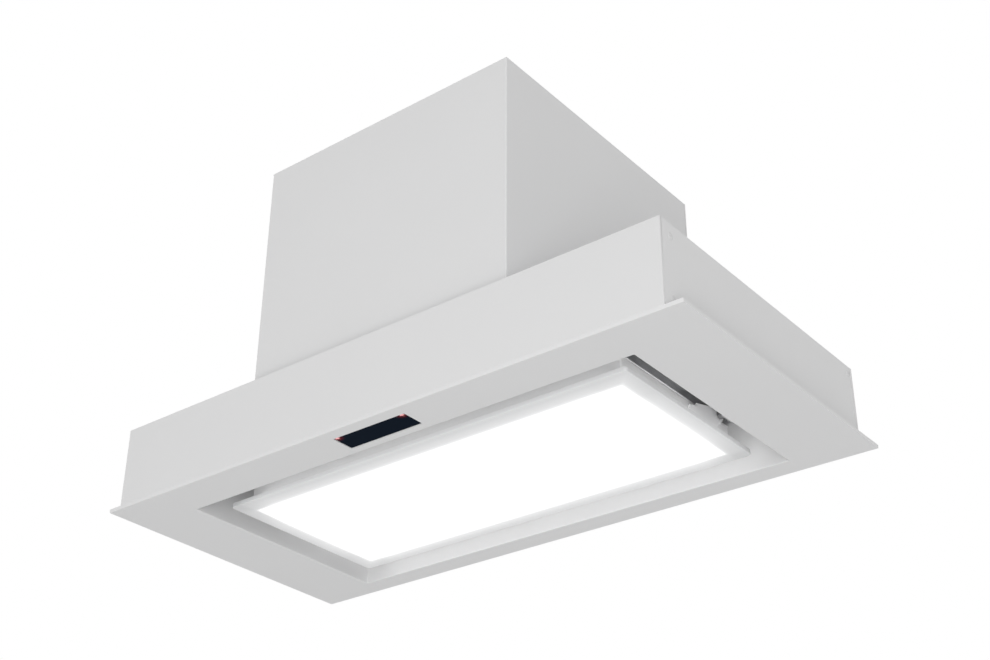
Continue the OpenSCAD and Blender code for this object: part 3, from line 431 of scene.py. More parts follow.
def circuit_board(look):
    """Green solder mask with copper tracks showing faintly under it."""
    material, graph = shader_material("circuit_board")
    place = graph.place()
    bricks = graph.add("ShaderNodeTexBrick", {"offset": 0.5}, {
        "Vector": place, "Scale": 1.0, "Mortar Size": 0.0005, "Brick Width": 0.011, "Row Height": 0.0024,
        "Color1": BLACK, "Color2": BLACK, "Mortar": WHITE}, out="Fac")
    track = bricks.ramp(0.4, 0.6)
    pads = graph.add("ShaderNodeTexVoronoi", sockets={"Vector": place, "Scale": 260.0})
    pad = 1.0 - pads.ramp(0.16, 0.22)
    base = graph.mix(track, (0.008, 0.10, 0.04, 1.0), (0.02, 0.19, 0.08, 1.0))
    close_material(graph, {
        "Base Color": graph.mix(pad, base, (0.62, 0.6, 0.55, 1.0)),
        "Roughness": 0.42 - pad * 0.12,
        "Metallic": pad * 0.8,
        "Normal": bump(graph, track * 0.6 + pad, 0.3, 0.00005),
    })
    return material


def set_surroundings(scene, strength):
    """A world that is plain white where it is seen or reflected, and lights with the given strength."""
    world = bpy.data.worlds.new("surroundings")
    world.use_nodes = True
    world.node_tree.nodes.clear()
    graph = Graph(world.node_tree)
    path = graph.add("ShaderNodeLightPath")
    seen = path.out("Is Camera Ray").most(path.out("Is Glossy Ray")).most(path.out("Is Transmission Ray"))
    white = graph.add("ShaderNodeBackground", sockets={
        "Color": WHITE, "Strength": seen * (1.0 - strength) + strength})
    graph.add("ShaderNodeOutputWorld", sockets={"Surface": white})
    scene.world = world


def floor_white():
    """A pale floor that keeps the hood's shadow and turns plain white far away."""
    material, graph = shader_material("floor")
    place = graph.place()
    x, y, _ = graph.axes(place)
    far = ((x * x + y * y) ** 0.5).ramp(3.0, 9.0)
    path = graph.add("ShaderNodeLightPath")
    seen = path.out("Is Camera Ray").most(path.out("Is Glossy Ray"))
    plain = graph.add("ShaderNodeBsdfDiffuse", sockets={"Color": graph.mix(
        graph.noise(place, 3.0, 3.0), (0.84, 0.84, 0.84, 1.0), (0.86, 0.86, 0.86, 1.0))})
    bright = graph.add("ShaderNodeBsdfDiffuse", sockets={"Color": (0.97, 0.97, 0.97, 1.0)})
    near = graph.add("ShaderNodeMixShader", sockets={0: seen, 1: plain, 2: bright})
    white = graph.add("ShaderNodeEmission", sockets={"Color": WHITE, "Strength": 1.0})
    whole = graph.add("ShaderNodeMixShader", sockets={0: seen * far, 1: near, 2: white})
    graph.add("ShaderNodeOutputMaterial", sockets={"Surface": whole})
    return material


FINISHES = {maker.__name__: maker for maker in (
    white_paint, painted_screws, inner_steel, hinge_steel, bracket_steel, pin_steel, spring_steel,
    screw_steel, filter_aluminium, dark_plastic, dark_rubber, opal_plastic, lead_cover, bare_copper,
    lit_glass, black_glass, red_lens, circuit_board)}
made = {}


def finish(name):
    """The material of a finish, made on first use."""
    if name not in made:
        made[name] = FINISHES[name](bpy.context.scene.hood_look)
    return made[name]


# Meshes

def linked(name, data):
    """A new object in the scene."""
    obj = bpy.data.objects.new(name, data)
    bpy.context.scene.collection.objects.link(obj)
    return obj


def from_bmesh(name, shape):
    """A new object with the mesh of a bmesh, which is freed."""
    mesh = bpy.data.meshes.new(name)
    shape.to_mesh(mesh)
    shape.free()
    return linked(name, mesh)


def settle(obj):
    """Turns a piece's live modifiers into its plain mesh."""
    graph = bpy.context.evaluated_depsgraph_get()
    mesh = bpy.data.meshes.new_from_object(obj.evaluated_get(graph), preserve_all_data_layers=True,
                                           depsgraph=graph)
    before = obj.data
    obj.modifiers.clear()
    obj.data = mesh
    bpy.data.meshes.remove(before)
    mesh.name = obj.name
    return obj


def settle_flat(obj):
    """Settles a piece with its normals weighed, so that flat faces stay flat beside their rounded edges."""
    obj.data.polygons.foreach_set("use_smooth", [True] * len(obj.data.polygons))
    normals = obj.modifiers.new("Normals", "WEIGHTED_NORMAL")
    normals.weight = 80
    normals.keep_sharp = True
    return settle(obj)


def box_mm(node):
    """Lowest and highest corner of a CAD node at rest, in millimetres."""
    return tuple(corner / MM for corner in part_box(node))


def arc(start, end, steps):
    """Angles in radians from one to another, which are given in degrees."""
    return [math.radians(start + (end - start) * i / steps) for i in range(steps + 1)]


def ring(x0, x1, y0, y1, r, z, n=5):
    """A level rounded rectangle, in metres from millimetres."""
    points = []
    corners = ((x1 - r, y1 - r), (x0 + r, y1 - r), (x0 + r, y0 + r), (x1 - r, y0 + r))
    for (x, y), start in zip(corners, (0, 90, 180, 270)):
        points += [Vector((x + r * math.cos(a), y + r * math.sin(a), z)) * MM
                   for a in arc(start, start + 90, n)]
    return points


def inset_ring(low, high, inset, r, z, n=5):
    """The level ring of a box, drawn in by an inset."""
    return ring(low.x + inset, high.x - inset, low.y + inset, high.y - inset, r, z, n)


def hoops(profile, centre=(0, 0, 0), axis="Z", sides=96):
    """Circles round an axis, one for each (radius, distance along the axis) of a profile."""
    turn = Matrix.Rotation(math.radians(90), 3, "Y") if axis == "X" else Matrix.Identity(3)
    angles = [2 * math.pi * i / sides for i in range(sides)]
    return [[(turn @ Vector((r * math.cos(a), r * math.sin(a), h)) + Vector(centre)) * MM for a in angles]
            for r, h in profile]


def skin(shape, rings, closed):
    """Faces between successive rings, closed round on themselves or capped at the two ends."""
    rows = [[shape.verts.new(p) for p in points] for points in rings]
    n = len(rows[0])
    pairs = list(zip(rows, rows[1:])) + ([(rows[-1], rows[0])] if closed else [])
    for a, b in pairs:
        for i in range(n):
            shape.faces.new((a[i], a[(i + 1) % n], b[(i + 1) % n], b[i]))
    if not closed:
        shape.faces.new(rows[0][::-1])
        shape.faces.new(rows[-1])


def sharpen(shape, degrees=35):
    """Marks open edges, and those that turn by more than an angle, as sharp."""
    limit = math.radians(degrees)
    for edge in shape.edges:
        if len(edge.link_faces) != 2 or edge.calc_face_angle(0) > limit:
            edge.smooth = False


def lofted(name, lofts, closed=False, sharp=35):
    """A piece of one or more lofts, each a list of rings."""
    shape = bmesh.new()
    for rings in lofts:
        skin(shape, rings, closed)
    bmesh.ops.remove_doubles(shape, verts=shape.verts, dist=1e-7)
    bmesh.ops.recalc_face_normals(shape, faces=shape.faces)
    sharpen(shape, sharp)
    return from_bmesh(name, shape)


def node_shape(node):
    """A bmesh of a CAD node with its doubles merged."""
    shape = bmesh.new()
    shape.from_mesh(frame["nodes"][node].data)
    bmesh.ops.remove_doubles(shape, verts=shape.verts, dist=2e-6)
    return shape


def dressed(name, node, fold, rim):
    """A copy of a CAD node, its folds rounded by one radius in millimetres and its cut rims by another."""
    least_angle = math.radians(32)
    rim_width = 2.4 * MM
    shape = node_shape(node)
    bmesh.ops.dissolve_degenerate(shape, edges=shape.edges, dist=1e-7)
    bmesh.ops.dissolve_limit(shape, angle_limit=math.radians(0.6), verts=shape.verts, edges=shape.edges)
    weights = shape.edges.layers.float.new("bevel_weight_edge")
    fold, rim = fold * MM, rim * MM
    largest = max(fold, rim)
    for edge in shape.edges:
        if len(edge.link_faces) != 2:
            continue
        angle = edge.calc_face_angle_signed(0)
        if abs(angle) < least_angle:
            continue
        is_fold = all(2 * face.calc_area() / max(face.calc_perimeter(), 1e-9) > rim_width
                      for face in edge.link_faces)
        width = (fold if angle > 0 else 0) if is_fold else rim
        if width and edge.calc_length() > 3 * width:
            edge[weights] = width / largest
        else:
            edge.smooth = False
    obj = from_bmesh(name, shape)
    bevel = obj.modifiers.new("Edges", "BEVEL")
    bevel.limit_method = "WEIGHT"
    bevel.width = largest
    bevel.segments = 3
    bevel.use_clamp_overlap = False
    bevel.miter_outer = "MITER_ARC"
    return settle_flat(obj)


def islands(node):
    """Boxes of a CAD node's separate solids, in millimetres."""
    shape = node_shape(node)
    seen, boxes = set(), []
    for start in shape.verts:
        if start in seen:
            continue
        seen.add(start)
        todo, group = [start], []
        while todo:
            vert = todo.pop()
            group.append(vert.co)
            for edge in vert.link_edges:
                other = edge.other_vert(vert)
                if other not in seen:
                    seen.add(other)
                    todo.append(other)
        low = Vector([min(p[i] for p in group) for i in range(3)]) / MM
        high = Vector([max(p[i] for p in group) for i in range(3)]) / MM
        boxes.append((low, high))
    shape.free()
    return sorted(boxes, key=lambda box: tuple(round(v, 2) for v in box[0]))


def joined(name, objects):
    """Several pieces made one."""
    shape = bmesh.new()
    materials = []
    for obj in objects:
        start = len(materials)
        materials.extend(obj.data.materials)
        first = len(shape.faces)
        shape.from_mesh(obj.data)
        shape.faces.ensure_lookup_table()
        for face in shape.faces[first:]:
            face.material_index += start
        bpy.data.objects.remove(obj)
    piece = from_bmesh(name, shape)
    for material in materials:
        piece.data.materials.append(material)
    return piece


def coat(obj, name):
    """Gives a piece one finish."""
    obj.data.materials.clear()
    obj.data.materials.append(finish(name))
    return obj


def deliver(obj, node, look=None):
    """Coats a piece, lets it ride on its node's body and stand for the node."""
    slot = SLOT_OF[node]
    if look or not obj.data.materials or obj.data.materials[0] is None:
        coat(obj, look or slot)
    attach(obj, BODY_OF[node])
    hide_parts(node)


def dress(node, name, fold, rim, look=None):
    """Stands a rounded copy in for a CAD node."""
    deliver(dressed(name, node, fold, rim), node, look)


# Geometry nodes

def new_tree(name, inputs):
    """A geometry tree with named inputs, its graph and the wire of its group input."""
    tree = bpy.data.node_groups.new(name, "GeometryNodeTree")
    tree.interface.new_socket("Geometry", in_out="INPUT", socket_type="NodeSocketGeometry")
    for label, kind in inputs:
        tree.interface.new_socket(label, in_out="INPUT", socket_type=kind)
    tree.interface.new_socket("Geometry", in_out="OUTPUT", socket_type="NodeSocketGeometry")
    graph = Graph(tree)
    return tree, graph, graph.add("NodeGroupInput")


def end_tree(graph, source, geometry):
    """Ends a tree in real geometry with the material of its input."""
    real = graph.add("GeometryNodeRealizeInstances", sockets={0: geometry})
    coated_real = graph.add("GeometryNodeSetMaterial", sockets={
        "Geometry": real, "Material": source.out("Material")})
    graph.add("NodeGroupOutput", sockets={0: coated_real})


def wire_tree():
    """Round or flat wire along the edges of a mesh."""
    tree, graph, source = new_tree("Wire along a path", (
        ("Radius", "NodeSocketFloat"), ("Flatness", "NodeSocketFloat"), ("Bend", "NodeSocketFloat"),
        ("Sides", "NodeSocketInt"), ("Material", "NodeSocketMaterial")))
    curve = graph.add("GeometryNodeMeshToCurve", sockets={"Mesh": source})
    bent = graph.add("GeometryNodeFilletCurve", {"mode": "POLY"}, {
        "Curve": curve, "Count": 6, "Radius": source.out("Bend"), "Limit Radius": True})
    circle = graph.add("GeometryNodeCurvePrimitiveCircle", sockets={
        "Resolution": source.out("Sides"), "Radius": source.out("Radius")})
    scale = graph.add("ShaderNodeCombineXYZ", sockets={0: 1.0, 1: source.out("Flatness"), 2: 1.0})
    profile = graph.add("GeometryNodeTransform", sockets={"Geometry": circle, "Scale": scale})
    mesh = graph.add("GeometryNodeCurveToMesh", sockets={
        "Curve": bent, "Profile Curve": profile, "Fill Caps": True})
    smooth = graph.add("GeometryNodeSetShadeSmooth", sockets={0: mesh})
    end_tree(graph, source, smooth)
    return tree


def placing_tree():
    """One piece set on every point, turned to the point's facing and spun by a fixed draw."""
    tree, graph, source = new_tree("Pieces on points", (
        ("Piece", "NodeSocketObject"), ("Spin", "NodeSocketFloat"), ("Seed", "NodeSocketInt"),
        ("Material", "NodeSocketMaterial")))
    facing = graph.add("GeometryNodeInputNamedAttribute", {"data_type": "FLOAT_VECTOR"}, {"Name": "facing"})
    aligned = graph.add("FunctionNodeAlignRotationToVector", {"axis": "Z"}, {"Vector": facing})
    draw = graph.add("FunctionNodeRandomValue", {"data_type": "FLOAT"}, {
        2: 0.0, 3: source.out("Spin"), "Seed": source.out("Seed")}, out=1)
    spin = graph.add("FunctionNodeAxisAngleToRotation", sockets={"Axis": (0.0, 0.0, 1.0), "Angle": draw})
    turned = graph.add("FunctionNodeRotateRotation", {"rotation_space": "LOCAL"}, {0: aligned, 1: spin})
    piece = graph.add("GeometryNodeObjectInfo", sockets={"Object": source.out("Piece")}, out="Geometry")
    placed = graph.add("GeometryNodeInstanceOnPoints", sockets={
        "Points": source, "Instance": piece, "Rotation": turned})
    end_tree(graph, source, placed)
    return tree


trees = {}


def grown(name, points, edges, maker, values, facings=None):
    """Runs a geometry tree on points and edges given in millimetres, and keeps the plain mesh."""
    if maker.__name__ not in trees:
        trees[maker.__name__] = maker()
    tree = trees[maker.__name__]
    mesh = bpy.data.meshes.new(name)
    mesh.from_pydata([Vector(p) * MM for p in points], edges, [])
    if facings:
        facing = mesh.attributes.new("facing", "FLOAT_VECTOR", "POINT")
        facing.data.foreach_set("vector", [part for f in facings for part in f])
    obj = linked(name, mesh)
    modifier = obj.modifiers.new("Grown", "NODES")
    modifier.node_group = tree
    for item in tree.interface.items_tree:
        if item.in_out == "INPUT" and item.name in values:
            modifier[item.identifier] = values[item.name]
    return settle(obj)


def wires(name, paths, radius, finish_name, bend=0.0, flat=1.0, sides=10):
    """Wire of one radius along polylines in millimetres."""
    points, edges = [], []
    for path in paths:
        start = len(points)
        points.extend(path)
        edges.extend((i, i + 1) for i in range(start, len(points) - 1))
    return grown(name, points, edges, wire_tree, {
        "Radius": radius * MM, "Flatness": flat, "Bend": bend * MM, "Sides": sides,
        "Material": finish(finish_name)})


def placed(name, template, points, facings, finish_name, spin=0.0, seed=7):
    """A template piece set on points; the template itself is removed."""
    obj = grown(name, points, [], placing_tree, {
        "Piece": template, "Spin": spin, "Seed": seed, "Material": finish(finish_name)}, facings)
    mesh = template.data
    bpy.data.objects.remove(template)
    bpy.data.meshes.remove(mesh)
    return obj


def upright(points):
    """A facing straight up for each point."""
    return [(0, 0, 1)] * len(points)


def carve(obj, cutter):
    """Cuts one shape out of a piece."""
    modifier = obj.modifiers.new("Cut", "BOOLEAN")
    modifier.operation = "DIFFERENCE"
    modifier.solver = "EXACT"
    modifier.object = cutter
    settle(obj)
    bpy.data.objects.remove(cutter)
    shape = bmesh.new()
    shape.from_mesh(obj.data)
    sharpen(shape)
    shape.to_mesh(obj.data)
    shape.free()


def screw(head_r, head_t, shank_r, shank, flush=False, recess=0.55):
    """A cross-recess screw whose top lies at the origin and whose shank points down -Z."""
    r, t, s = head_r, head_t, shank_r
    if flush:
        head = [(0.01, 0), (r - 0.25, 0), (r - 0.08, -0.04), (r, -0.18), (s, -0.18 - (r - s))]
        deep = 0.8
    else:
        head = [(0.01, 0), (r * 0.35, -0.02), (r * 0.65, -0.09 * t), (r * 0.86, -0.28 * t),
                (r * 0.97, -0.55 * t), (r, -0.8 * t), (r, -t), (s, -t)]
        deep = min(0.75 * t, 0.9)
    body = lofted("screw", [hoops(head + [(s, -shank + 0.3), (s - 0.3, -shank)], sides=32)], sharp=40)
    arm, half, taper = r * recess, r * 0.11, 0.55
    outline = ((arm, half), (-arm, half), (-arm, -half), (arm, -half))
    for turn in (0, 90):
        spin = Matrix.Rotation(math.radians(turn), 3, "Z")
        cut = [[(spin @ Vector((x * k, y * k, z))) * MM for x, y in outline]
               for k, z in ((1.0, 0.5), (taper, -deep))]
        carve(body, lofted("recess", [cut]))
    return body


def chip(half_x, half_y, shoulder, top):
    """A component's package, from its board at z = 0 to its bevelled top."""
    bevel = 0.3
    rings = [ring(-half_x, half_x, -half_y, half_y, 0.3, z, 2) for z in (0.0, shoulder)]
    rings.append(ring(bevel - half_x, half_x - bevel, bevel - half_y, half_y - bevel, 0.2, top, 2))
    return lofted("chip", [rings])


# Settings

class HoodStageSettings(bpy.types.PropertyGroup):
    """Floor, lamps and surroundings"""
    floor_height: FloatProperty(name="Floor height", description="Height of the floor under the hood",
                                default=-2.4, unit="LENGTH")
    surroundings: FloatProperty(name="Surroundings", description="Light that comes from all round",
                                default=0.57, min=0.0)
    key: FloatProperty(name="Key lamp", default=54.0, min=0.0, unit="POWER",
                       description="Power of the large soft lamp in front, below and to the right")


class HoodLookSettings(bpy.types.PropertyGroup):
    """Finishes of the hood"""
    paint: FloatVectorProperty(name="Paint", description="Colour of the casing's satin paint",
                               default=(0.755, 0.755, 0.757), size=3, min=0.0, max=1.0, subtype="COLOR")
    paint_roughness: FloatProperty(name="Paint roughness", description="Roughness of the casing's paint",
                                   default=0.42, min=0.0, max=1.0, subtype="FACTOR")
    steel: FloatVectorProperty(name="Steel", description="Colour of the galvanised inner sheet",
                               default=(0.44, 0.445, 0.46), size=3, min=0.0, max=1.0, subtype="COLOR")
    glow: FloatProperty(name="Glow", description="Strength of the lit glass under the diffuser",
                        default=0.62, min=0.0)
    rim_light: FloatProperty(name="Rim light", description="Strength of the light from the glass's top rim",
                             default=3.0, min=0.1)


class HoodSizeSettings(bpy.types.PropertyGroup):
    """Sizes of the worked detail"""
    fold: FloatProperty(name="Fold radius", default=1.2, min=0.2, max=2.0,
                        description="Outer radius of the folds in the sheet metal, in mm")
    rim: FloatProperty(name="Rim radius", description="Rounding of the sheet's cut rims, in mm",
                       default=0.2, min=0.05, max=0.4)
    mesh_pitch: FloatProperty(name="Mesh pitch", default=5.0, min=3.0, max=10.0,
                              description="Height of one diamond of the filter mesh, in mm")
    mesh_layers: IntProperty(name="Mesh layers", description="Layers of mesh in each filter",
                             default=3, min=1, max=5)
    led_pitch: FloatProperty(name="LED pitch", description="Distance between light chips, in mm",
                             default=16.0, min=8.0, max=40.0)


# Operators

class HoodStage(bpy.types.Operator):
    """Sets up the floor, the surroundings, the lamp and the camera"""
    bl_idname = "hood.stage"
    bl_label = "Stage"

    def execute(self, context):
        stage = context.scene.hood_stage
        set_surroundings(context.scene, stage.surroundings)
        context.scene.view_settings.view_transform = "Standard"

        radius, thickness, z = 12000.0, 20.0, stage.floor_height / MM
        floor = lofted("floor", [hoops([(radius, z - thickness), (radius, z)])])
        floor.data.materials.append(floor_white())

        lamp = bpy.data.lights.new("key_lamp", "AREA")
        lamp.shape = "DISK"
        lamp.size = 2.0
        lamp.energy = stage.key
        place, target = Vector((1.52, -2.496, -1.617)), Vector((0.0, 0.0, 0.12))
        obj = linked("key_lamp", lamp)
        obj.location = place
        obj.rotation_euler = (target - place).to_track_quat("-Z", "Y").to_euler()

        camera = bpy.data.cameras.new("camera")
        camera.sensor_width = 36.0
        camera.lens = 57.749
        camera.shift_x = 0.0496
        camera.shift_y = -0.0172
        camera.clip_end = 40.0
        place = (0.776333, -0.953723, -0.559164)
        right = Vector((0.769438, 0.638379, 0.020918))
        down = Vector((-0.310497, 0.402460, -0.861172))
        forward = Vector((-0.558172, 0.656124, 0.507883))
        obj = linked("camera", camera)
        turned = Matrix((right, -down, -forward)).transposed().to_4x4()
        obj.matrix_world = Matrix.Translation(place) @ turned
        context.scene.camera = obj
        return {"FINISHED"}


class HoodBottomFrame(bpy.types.Operator):
    """Makes the bottom frame: hemmed edge, underside and the folded wall round the opening"""
    bl_idname = "hood.bottom_frame"
    bl_label = "Bottom frame"

    def execute(self, context):
        outer_x, outer_y, top = box_mm("bottom_frame")[1]
        inner_x, inner_y0, inner_y1 = OPENING
        hem, corner, hole_corner = 3.0, 0.7, 0.8
        hem_inside = hem / 2 - SHEET
        fold_outside, fold_inside = 0.7, 0.1
        fold_at = SHEET + fold_inside
        lip = 0.12
        rim = ((0.3, 0.0), (0.08, 0.08), (0.0, 0.3))
        rings = []

        def outside(side_in, front_in, z):
            x, y = outer_x - side_in, outer_y - front_in
            rings.append(ring(-x, x, -y, y, corner, z))

        def opening(grow, z):
            rings.append(ring(-inner_x - grow, inner_x + grow, inner_y0 - grow, inner_y1 + grow,
                              hole_corner + grow, z))

        # Down the wall round the opening, along the underside and up the hem
        for grow, below in rim:
            opening(grow, top - below)
        for a in arc(0, 90, 6):
            opening(fold_outside * (1 - math.cos(a)), fold_outside * (1 - math.sin(a)))
        for side_in, front_in, z in ((0.12, 1.15, 0.0), (0.04, 0.85, 0.05), (0.0, 0.66, 0.15),
                                     (0.0, 0.54, 0.32), (0.0, 0.46, 0.6), (0.0, 0.1, hem - 0.5)):
            outside(side_in, front_in, z)
        for a in arc(0, 90, 3):
            turn = lip * (1 - math.cos(a))
            outside(turn, turn, hem - lip * (1 - math.sin(a)))

        # Over the lap's edge, back inside the hem, over the underside and up the wall again
        for z, back in ((hem, 0.15), (hem - 0.15, 0.0), (hem - SHEET + 0.15, 0.0), (hem - SHEET, 0.15)):
            outside(LAP_SIDE - back, LAP_FRONT - back, z)
        for a in arc(90, -90, 4):
            turn = hem / 2 - hem_inside * math.cos(a)
            outside(turn, turn, hem / 2 + hem_inside * math.sin(a))
        for a in arc(90, 0, 3):
            opening(fold_at - fold_inside * math.cos(a), fold_at - fold_inside * math.sin(a))
        for grow, below in rim[::-1]:
            opening(SHEET - grow, top - below)
        shape = lofted("bottom_frame_sheet", [rings], closed=True, sharp=50)

        low, high = box_mm("control_glass")
        seam = 0.3
        cut = [inset_ring(low, high, -seam, 1.2, z, 4) for z in (-2.0, 1.5)]
        carve(shape, lofted("control_cut", [cut]))
        deliver(settle_flat(shape), "bottom_frame")
        return {"FINISHED"}


class HoodLowerCasing(bpy.types.Operator):
    """Makes the lower box: front, sides, back and the deck that closes it"""
    bl_idname = "hood.lower_casing"
    bl_label = "Lower casing"

    def execute(self, context):
        size = context.scene.hood_size
        for node in ("front_panel", "back_panel"):
            dress(node, node + "_sheet", size.fold, size.rim / 2)
        for node in ("left_side_panel", "right_side_panel"):
            dress(node, node + "_sheet", size.fold, size.rim * 2)
        dress("deck_panel", "deck_panel_sheet", 0.4, size.rim)
        return {"FINISHED"}


class HoodUpperCasing(bpy.types.Operator):
    """Makes the upper box: folded shell, back and top"""
    bl_idname = "hood.upper_casing"
    bl_label = "Upper casing"

    def execute(self, context):
        size = context.scene.hood_size
        for node in ("upper_shell", "upper_back_panel", "upper_top_panel"):
            dress(node, node + "_sheet", size.fold, size.rim)
        return {"FINISHED"}


class HoodFixings(bpy.types.Operator):
    """Sets every screw of the casing and of the outlet"""
    bl_idname = "hood.fixings"
    bl_label = "Fixings"

    def execute(self, context):
        spots = {"side": [], "back": [], "deck": [], "spigot": []}
        node_head, flat_head = 1.0, 0.45
        for low, high in islands("side_screws"):
            middle, side = (low + high) / 2, 1 if low.x > 0 else -1
            top = (high.x if side > 0 else low.x) - side * (node_head - flat_head)
            spots["side"].append(((top, middle.y, middle.z), (side, 0, 0)))
        for low, high in islands("housing_screws"):
            middle, size = (low + high) / 2, high - low
            if size.y < size.z:
                spots["back"].append(((middle.x, high.y, middle.z), (0, 1, 0)))
            else:
                spots["deck"].append(((middle.x, middle.y, high.z), (0, 0, 1)))
        for low, high in islands("spigot_screws"):
            middle = (low + high) / 2
            spots["spigot"].append(((middle.x, middle.y, high.z), (0, 0, 1)))

        def batch(name, kind, template, finish_name):
            points, facings = zip(*spots[kind])
            return placed(name, template, points, facings, finish_name, math.tau, 11)

        head, shank = 3.2, 1.7
        flat = screw(3.0, flat_head, shank, 4.0, recess=0.4)
        deliver(batch("side_screw_heads", "side", flat, "painted_screws"), "side_screws")
        deck = batch("deck_screws", "deck", screw(head, 1.0, shank, 4.0), "screw_steel")
        back = batch("back_screws", "back", screw(head, 1.0, shank, 4.0, flush=True), "screw_steel")
        deliver(joined("casing_screws", [deck, back]), "housing_screws")
        outlet = batch("outlet_screws", "spigot", screw(head, 1.0, shank, 7.0), "screw_steel")
        deliver(outlet, "spigot_screws")
        return {"FINISHED"}


class HoodLightPanel(bpy.types.Operator):
    """Makes the light panel: frosted glass, tray, lid, diffuser, light strips and strikers"""
    bl_idname = "hood.light_panel"
    bl_label = "Light panel"

    def execute(self, context):
        low, high = box_mm("panel_glass")
        corner = 4.0
        edge = ((0.5, 0.0), (0.23, 0.07), (0.07, 0.23), (0.0, 0.5))
        rings = [inset_ring(low, high, i, corner - i, low.z + z, 8) for i, z in edge]
        rings += [inset_ring(low, high, i, corner - i, high.z - z, 8) for i, z in edge[::-1]]
        deliver(settle_flat(lofted("light_glass", [rings], sharp=50)), "panel_glass")

        low, high = box_mm("panel_tray")
        corner = 1.6
        profile = ((0.0, low.z), (0.0, high.z - 1.0), (0.15, high.z - 0.5), (0.55, high.z - 0.08),
                   (1.0, high.z - 0.08), (1.0, low.z))
        rings = [inset_ring(low, high, i, corner - i, z) for i, z in profile]
        deliver(settle_flat(lofted("light_tray", [rings], closed=True, sharp=40)), "panel_tray")
        dress("tray_lid", "light_tray_lid", 0.5, 0.6)
        dress("diffuser", "light_diffuser", 0.4, 0.4)
        dress("striker_plates", "striker_pads", 0.2, 0.2)

        strips = coat(dressed("strips", "light_strips", 0.2, 0.2), "opal_plastic")
        pitch, margin = context.scene.hood_size.led_pitch, 6.0
        points = []
        for low, high in islands("light_strips"):
            middle = (low + high) / 2
            count = int((high.x - low.x - 2 * margin) // pitch) + 1
            start = middle.x - (count - 1) * pitch / 2
            points += [(start + i * pitch, middle.y, low.z) for i in range(count)]
        chips = placed("chips", chip(1.8, 1.4, -0.6, -0.8), points, upright(points), "opal_plastic")
        deliver(joined("light_strip_rows", [strips, chips]), "light_strips")
        return {"FINISHED"}


class HoodHinges(bpy.types.Operator):
    """Makes the light panel's hinges: arms, brackets, pins and springs"""
    bl_idname = "hood.hinges"
    bl_label = "Hinges"

    def execute(self, context):
        for side in ("left", "right"):
            dress(side + "_hinge_arm", side + "_arm", 0.3, 0.35)
            # The brackets' dark bracket_steel finish is partly painted shade against the light from the
            # glass's top rim
            dress(side + "_hinge_bracket", side + "_bracket", 1.0, 0.3, "bracket_steel")
        dress("hinge_pins", "pivot_pins", 0.3, 0.25, "pin_steel")
        low, high = box_mm("hinge_springs")
        coil_r, pitch, turns, wire_r, steps = 3.4, 1.6, 4, 0.5, 24
        behind, above = 15.5, 3.9
        start = high.x - wire_r - pitch * turns
        y, z = PIVOT[0] + behind, PIVOT[1] + above
        line = [(start, low.y, z + coil_r), (start, y - 2, z + coil_r)]
        for i in range(turns * steps + 1):
            a = math.tau * i / steps
            line.append((start + pitch * i / steps, y + coil_r * math.sin(a), z + coil_r * math.cos(a)))
        mirrored = [(-x, y, z) for x, y, z in line]
        deliver(wires("coil_springs", [line, mirrored], wire_r, "spring_steel", sides=12), "hinge_springs")
        return {"FINISHED"}


class HoodCatches(bpy.types.Operator):
    """Makes the catches that hold the light panel up"""
    bl_idname = "hood.catches"
    bl_label = "Catches"

    def execute(self, context):
        dress("catch_brackets", "catch_arms", 0.9, 0.25)
        dress("catch_magnets", "catch_blocks", 0.4, 0.4)
        return {"FINISHED"}


class HoodFilters(bpy.types.Operator):
    """Makes the grease filters, their rails and the magnets that hold them"""
    bl_idname = "hood.filters"
    bl_label = "Grease filters"

    def execute(self, context):
        size = context.scene.hood_size
        dress("filter_rails", "filter_rail_pair", 0.8, 0.25)
        dress("filter_magnets", "filter_blocks", 0.4, 0.4)
        for side in ("left", "right"):
            dress(side + "_filter_frame", side + "_filter_rim", 0.9, 0.3)
            self.mesh(side, size.mesh_pitch, size.mesh_layers)
            self.handle(side)
        return {"FINISHED"}

    @staticmethod
    def mesh(side, pitch, layers):
        """Flattened zigzag wires in layers, each half a diamond off its neighbours."""
        low, high = box_mm(side + "_filter_mesh")
        half, step, margin, lift = pitch / 2, pitch * 1.15, 1.0, 0.3
        across = int((high.x - low.x - 2 * margin) // step)
        rows = int((high.y - low.y - 2 * half - 2 * margin) // pitch)
        x0 = (low.x + high.x - across * step) / 2
        y0 = (low.y + high.y - (rows - 1) * pitch) / 2
        paths = []
        for layer in range(layers):
            z = low.z + (high.z - low.z) * (layer + 0.5) / layers
            for j in range(rows):
                ways = [(-1) ** (i + j + layer) for i in range(across + 1)]
                paths.append([(x0 + i * step, y0 + j * pitch + way * half * 0.92, z + lift * way)
                              for i, way in enumerate(ways)])
        mesh = wires(side + "_filter_layers", paths, 0.65, "filter_aluminium", flat=0.4, sides=4)
        deliver(mesh, side + "_filter_mesh")

    @staticmethod
    def handle(side):
        """A bent bar on two round feet."""
        low, high = box_mm(side + "_filter_handle")
        middle, y, r, foot_r = (low.x + high.x) / 2, (low.y + high.y) / 2, 2.0, 4.0
        reach = (high.x - low.x) / 2 - foot_r
        bend = [(middle - reach, y, high.z - 0.2), (middle - reach, y, low.z + r),
                (middle + reach, y, low.z + r), (middle + reach, y, high.z - 0.2)]
        bar = wires("bar", [bend], r, "filter_aluminium", bend=5.0, sides=20)
        foot = [(0.01, 0.0), (foot_r, 0.0), (foot_r, -0.35), (3.6, -0.8), (2.6, -1.0), (0.01, -1.0)]
        feet = lofted("feet", [hoops(foot, (middle + way * reach, y, high.z), sides=32) for way in (-1, 1)])
        coat(feet, "filter_aluminium")
        deliver(joined(side + "_filter_pull", [bar, feet]), side + "_filter_handle")


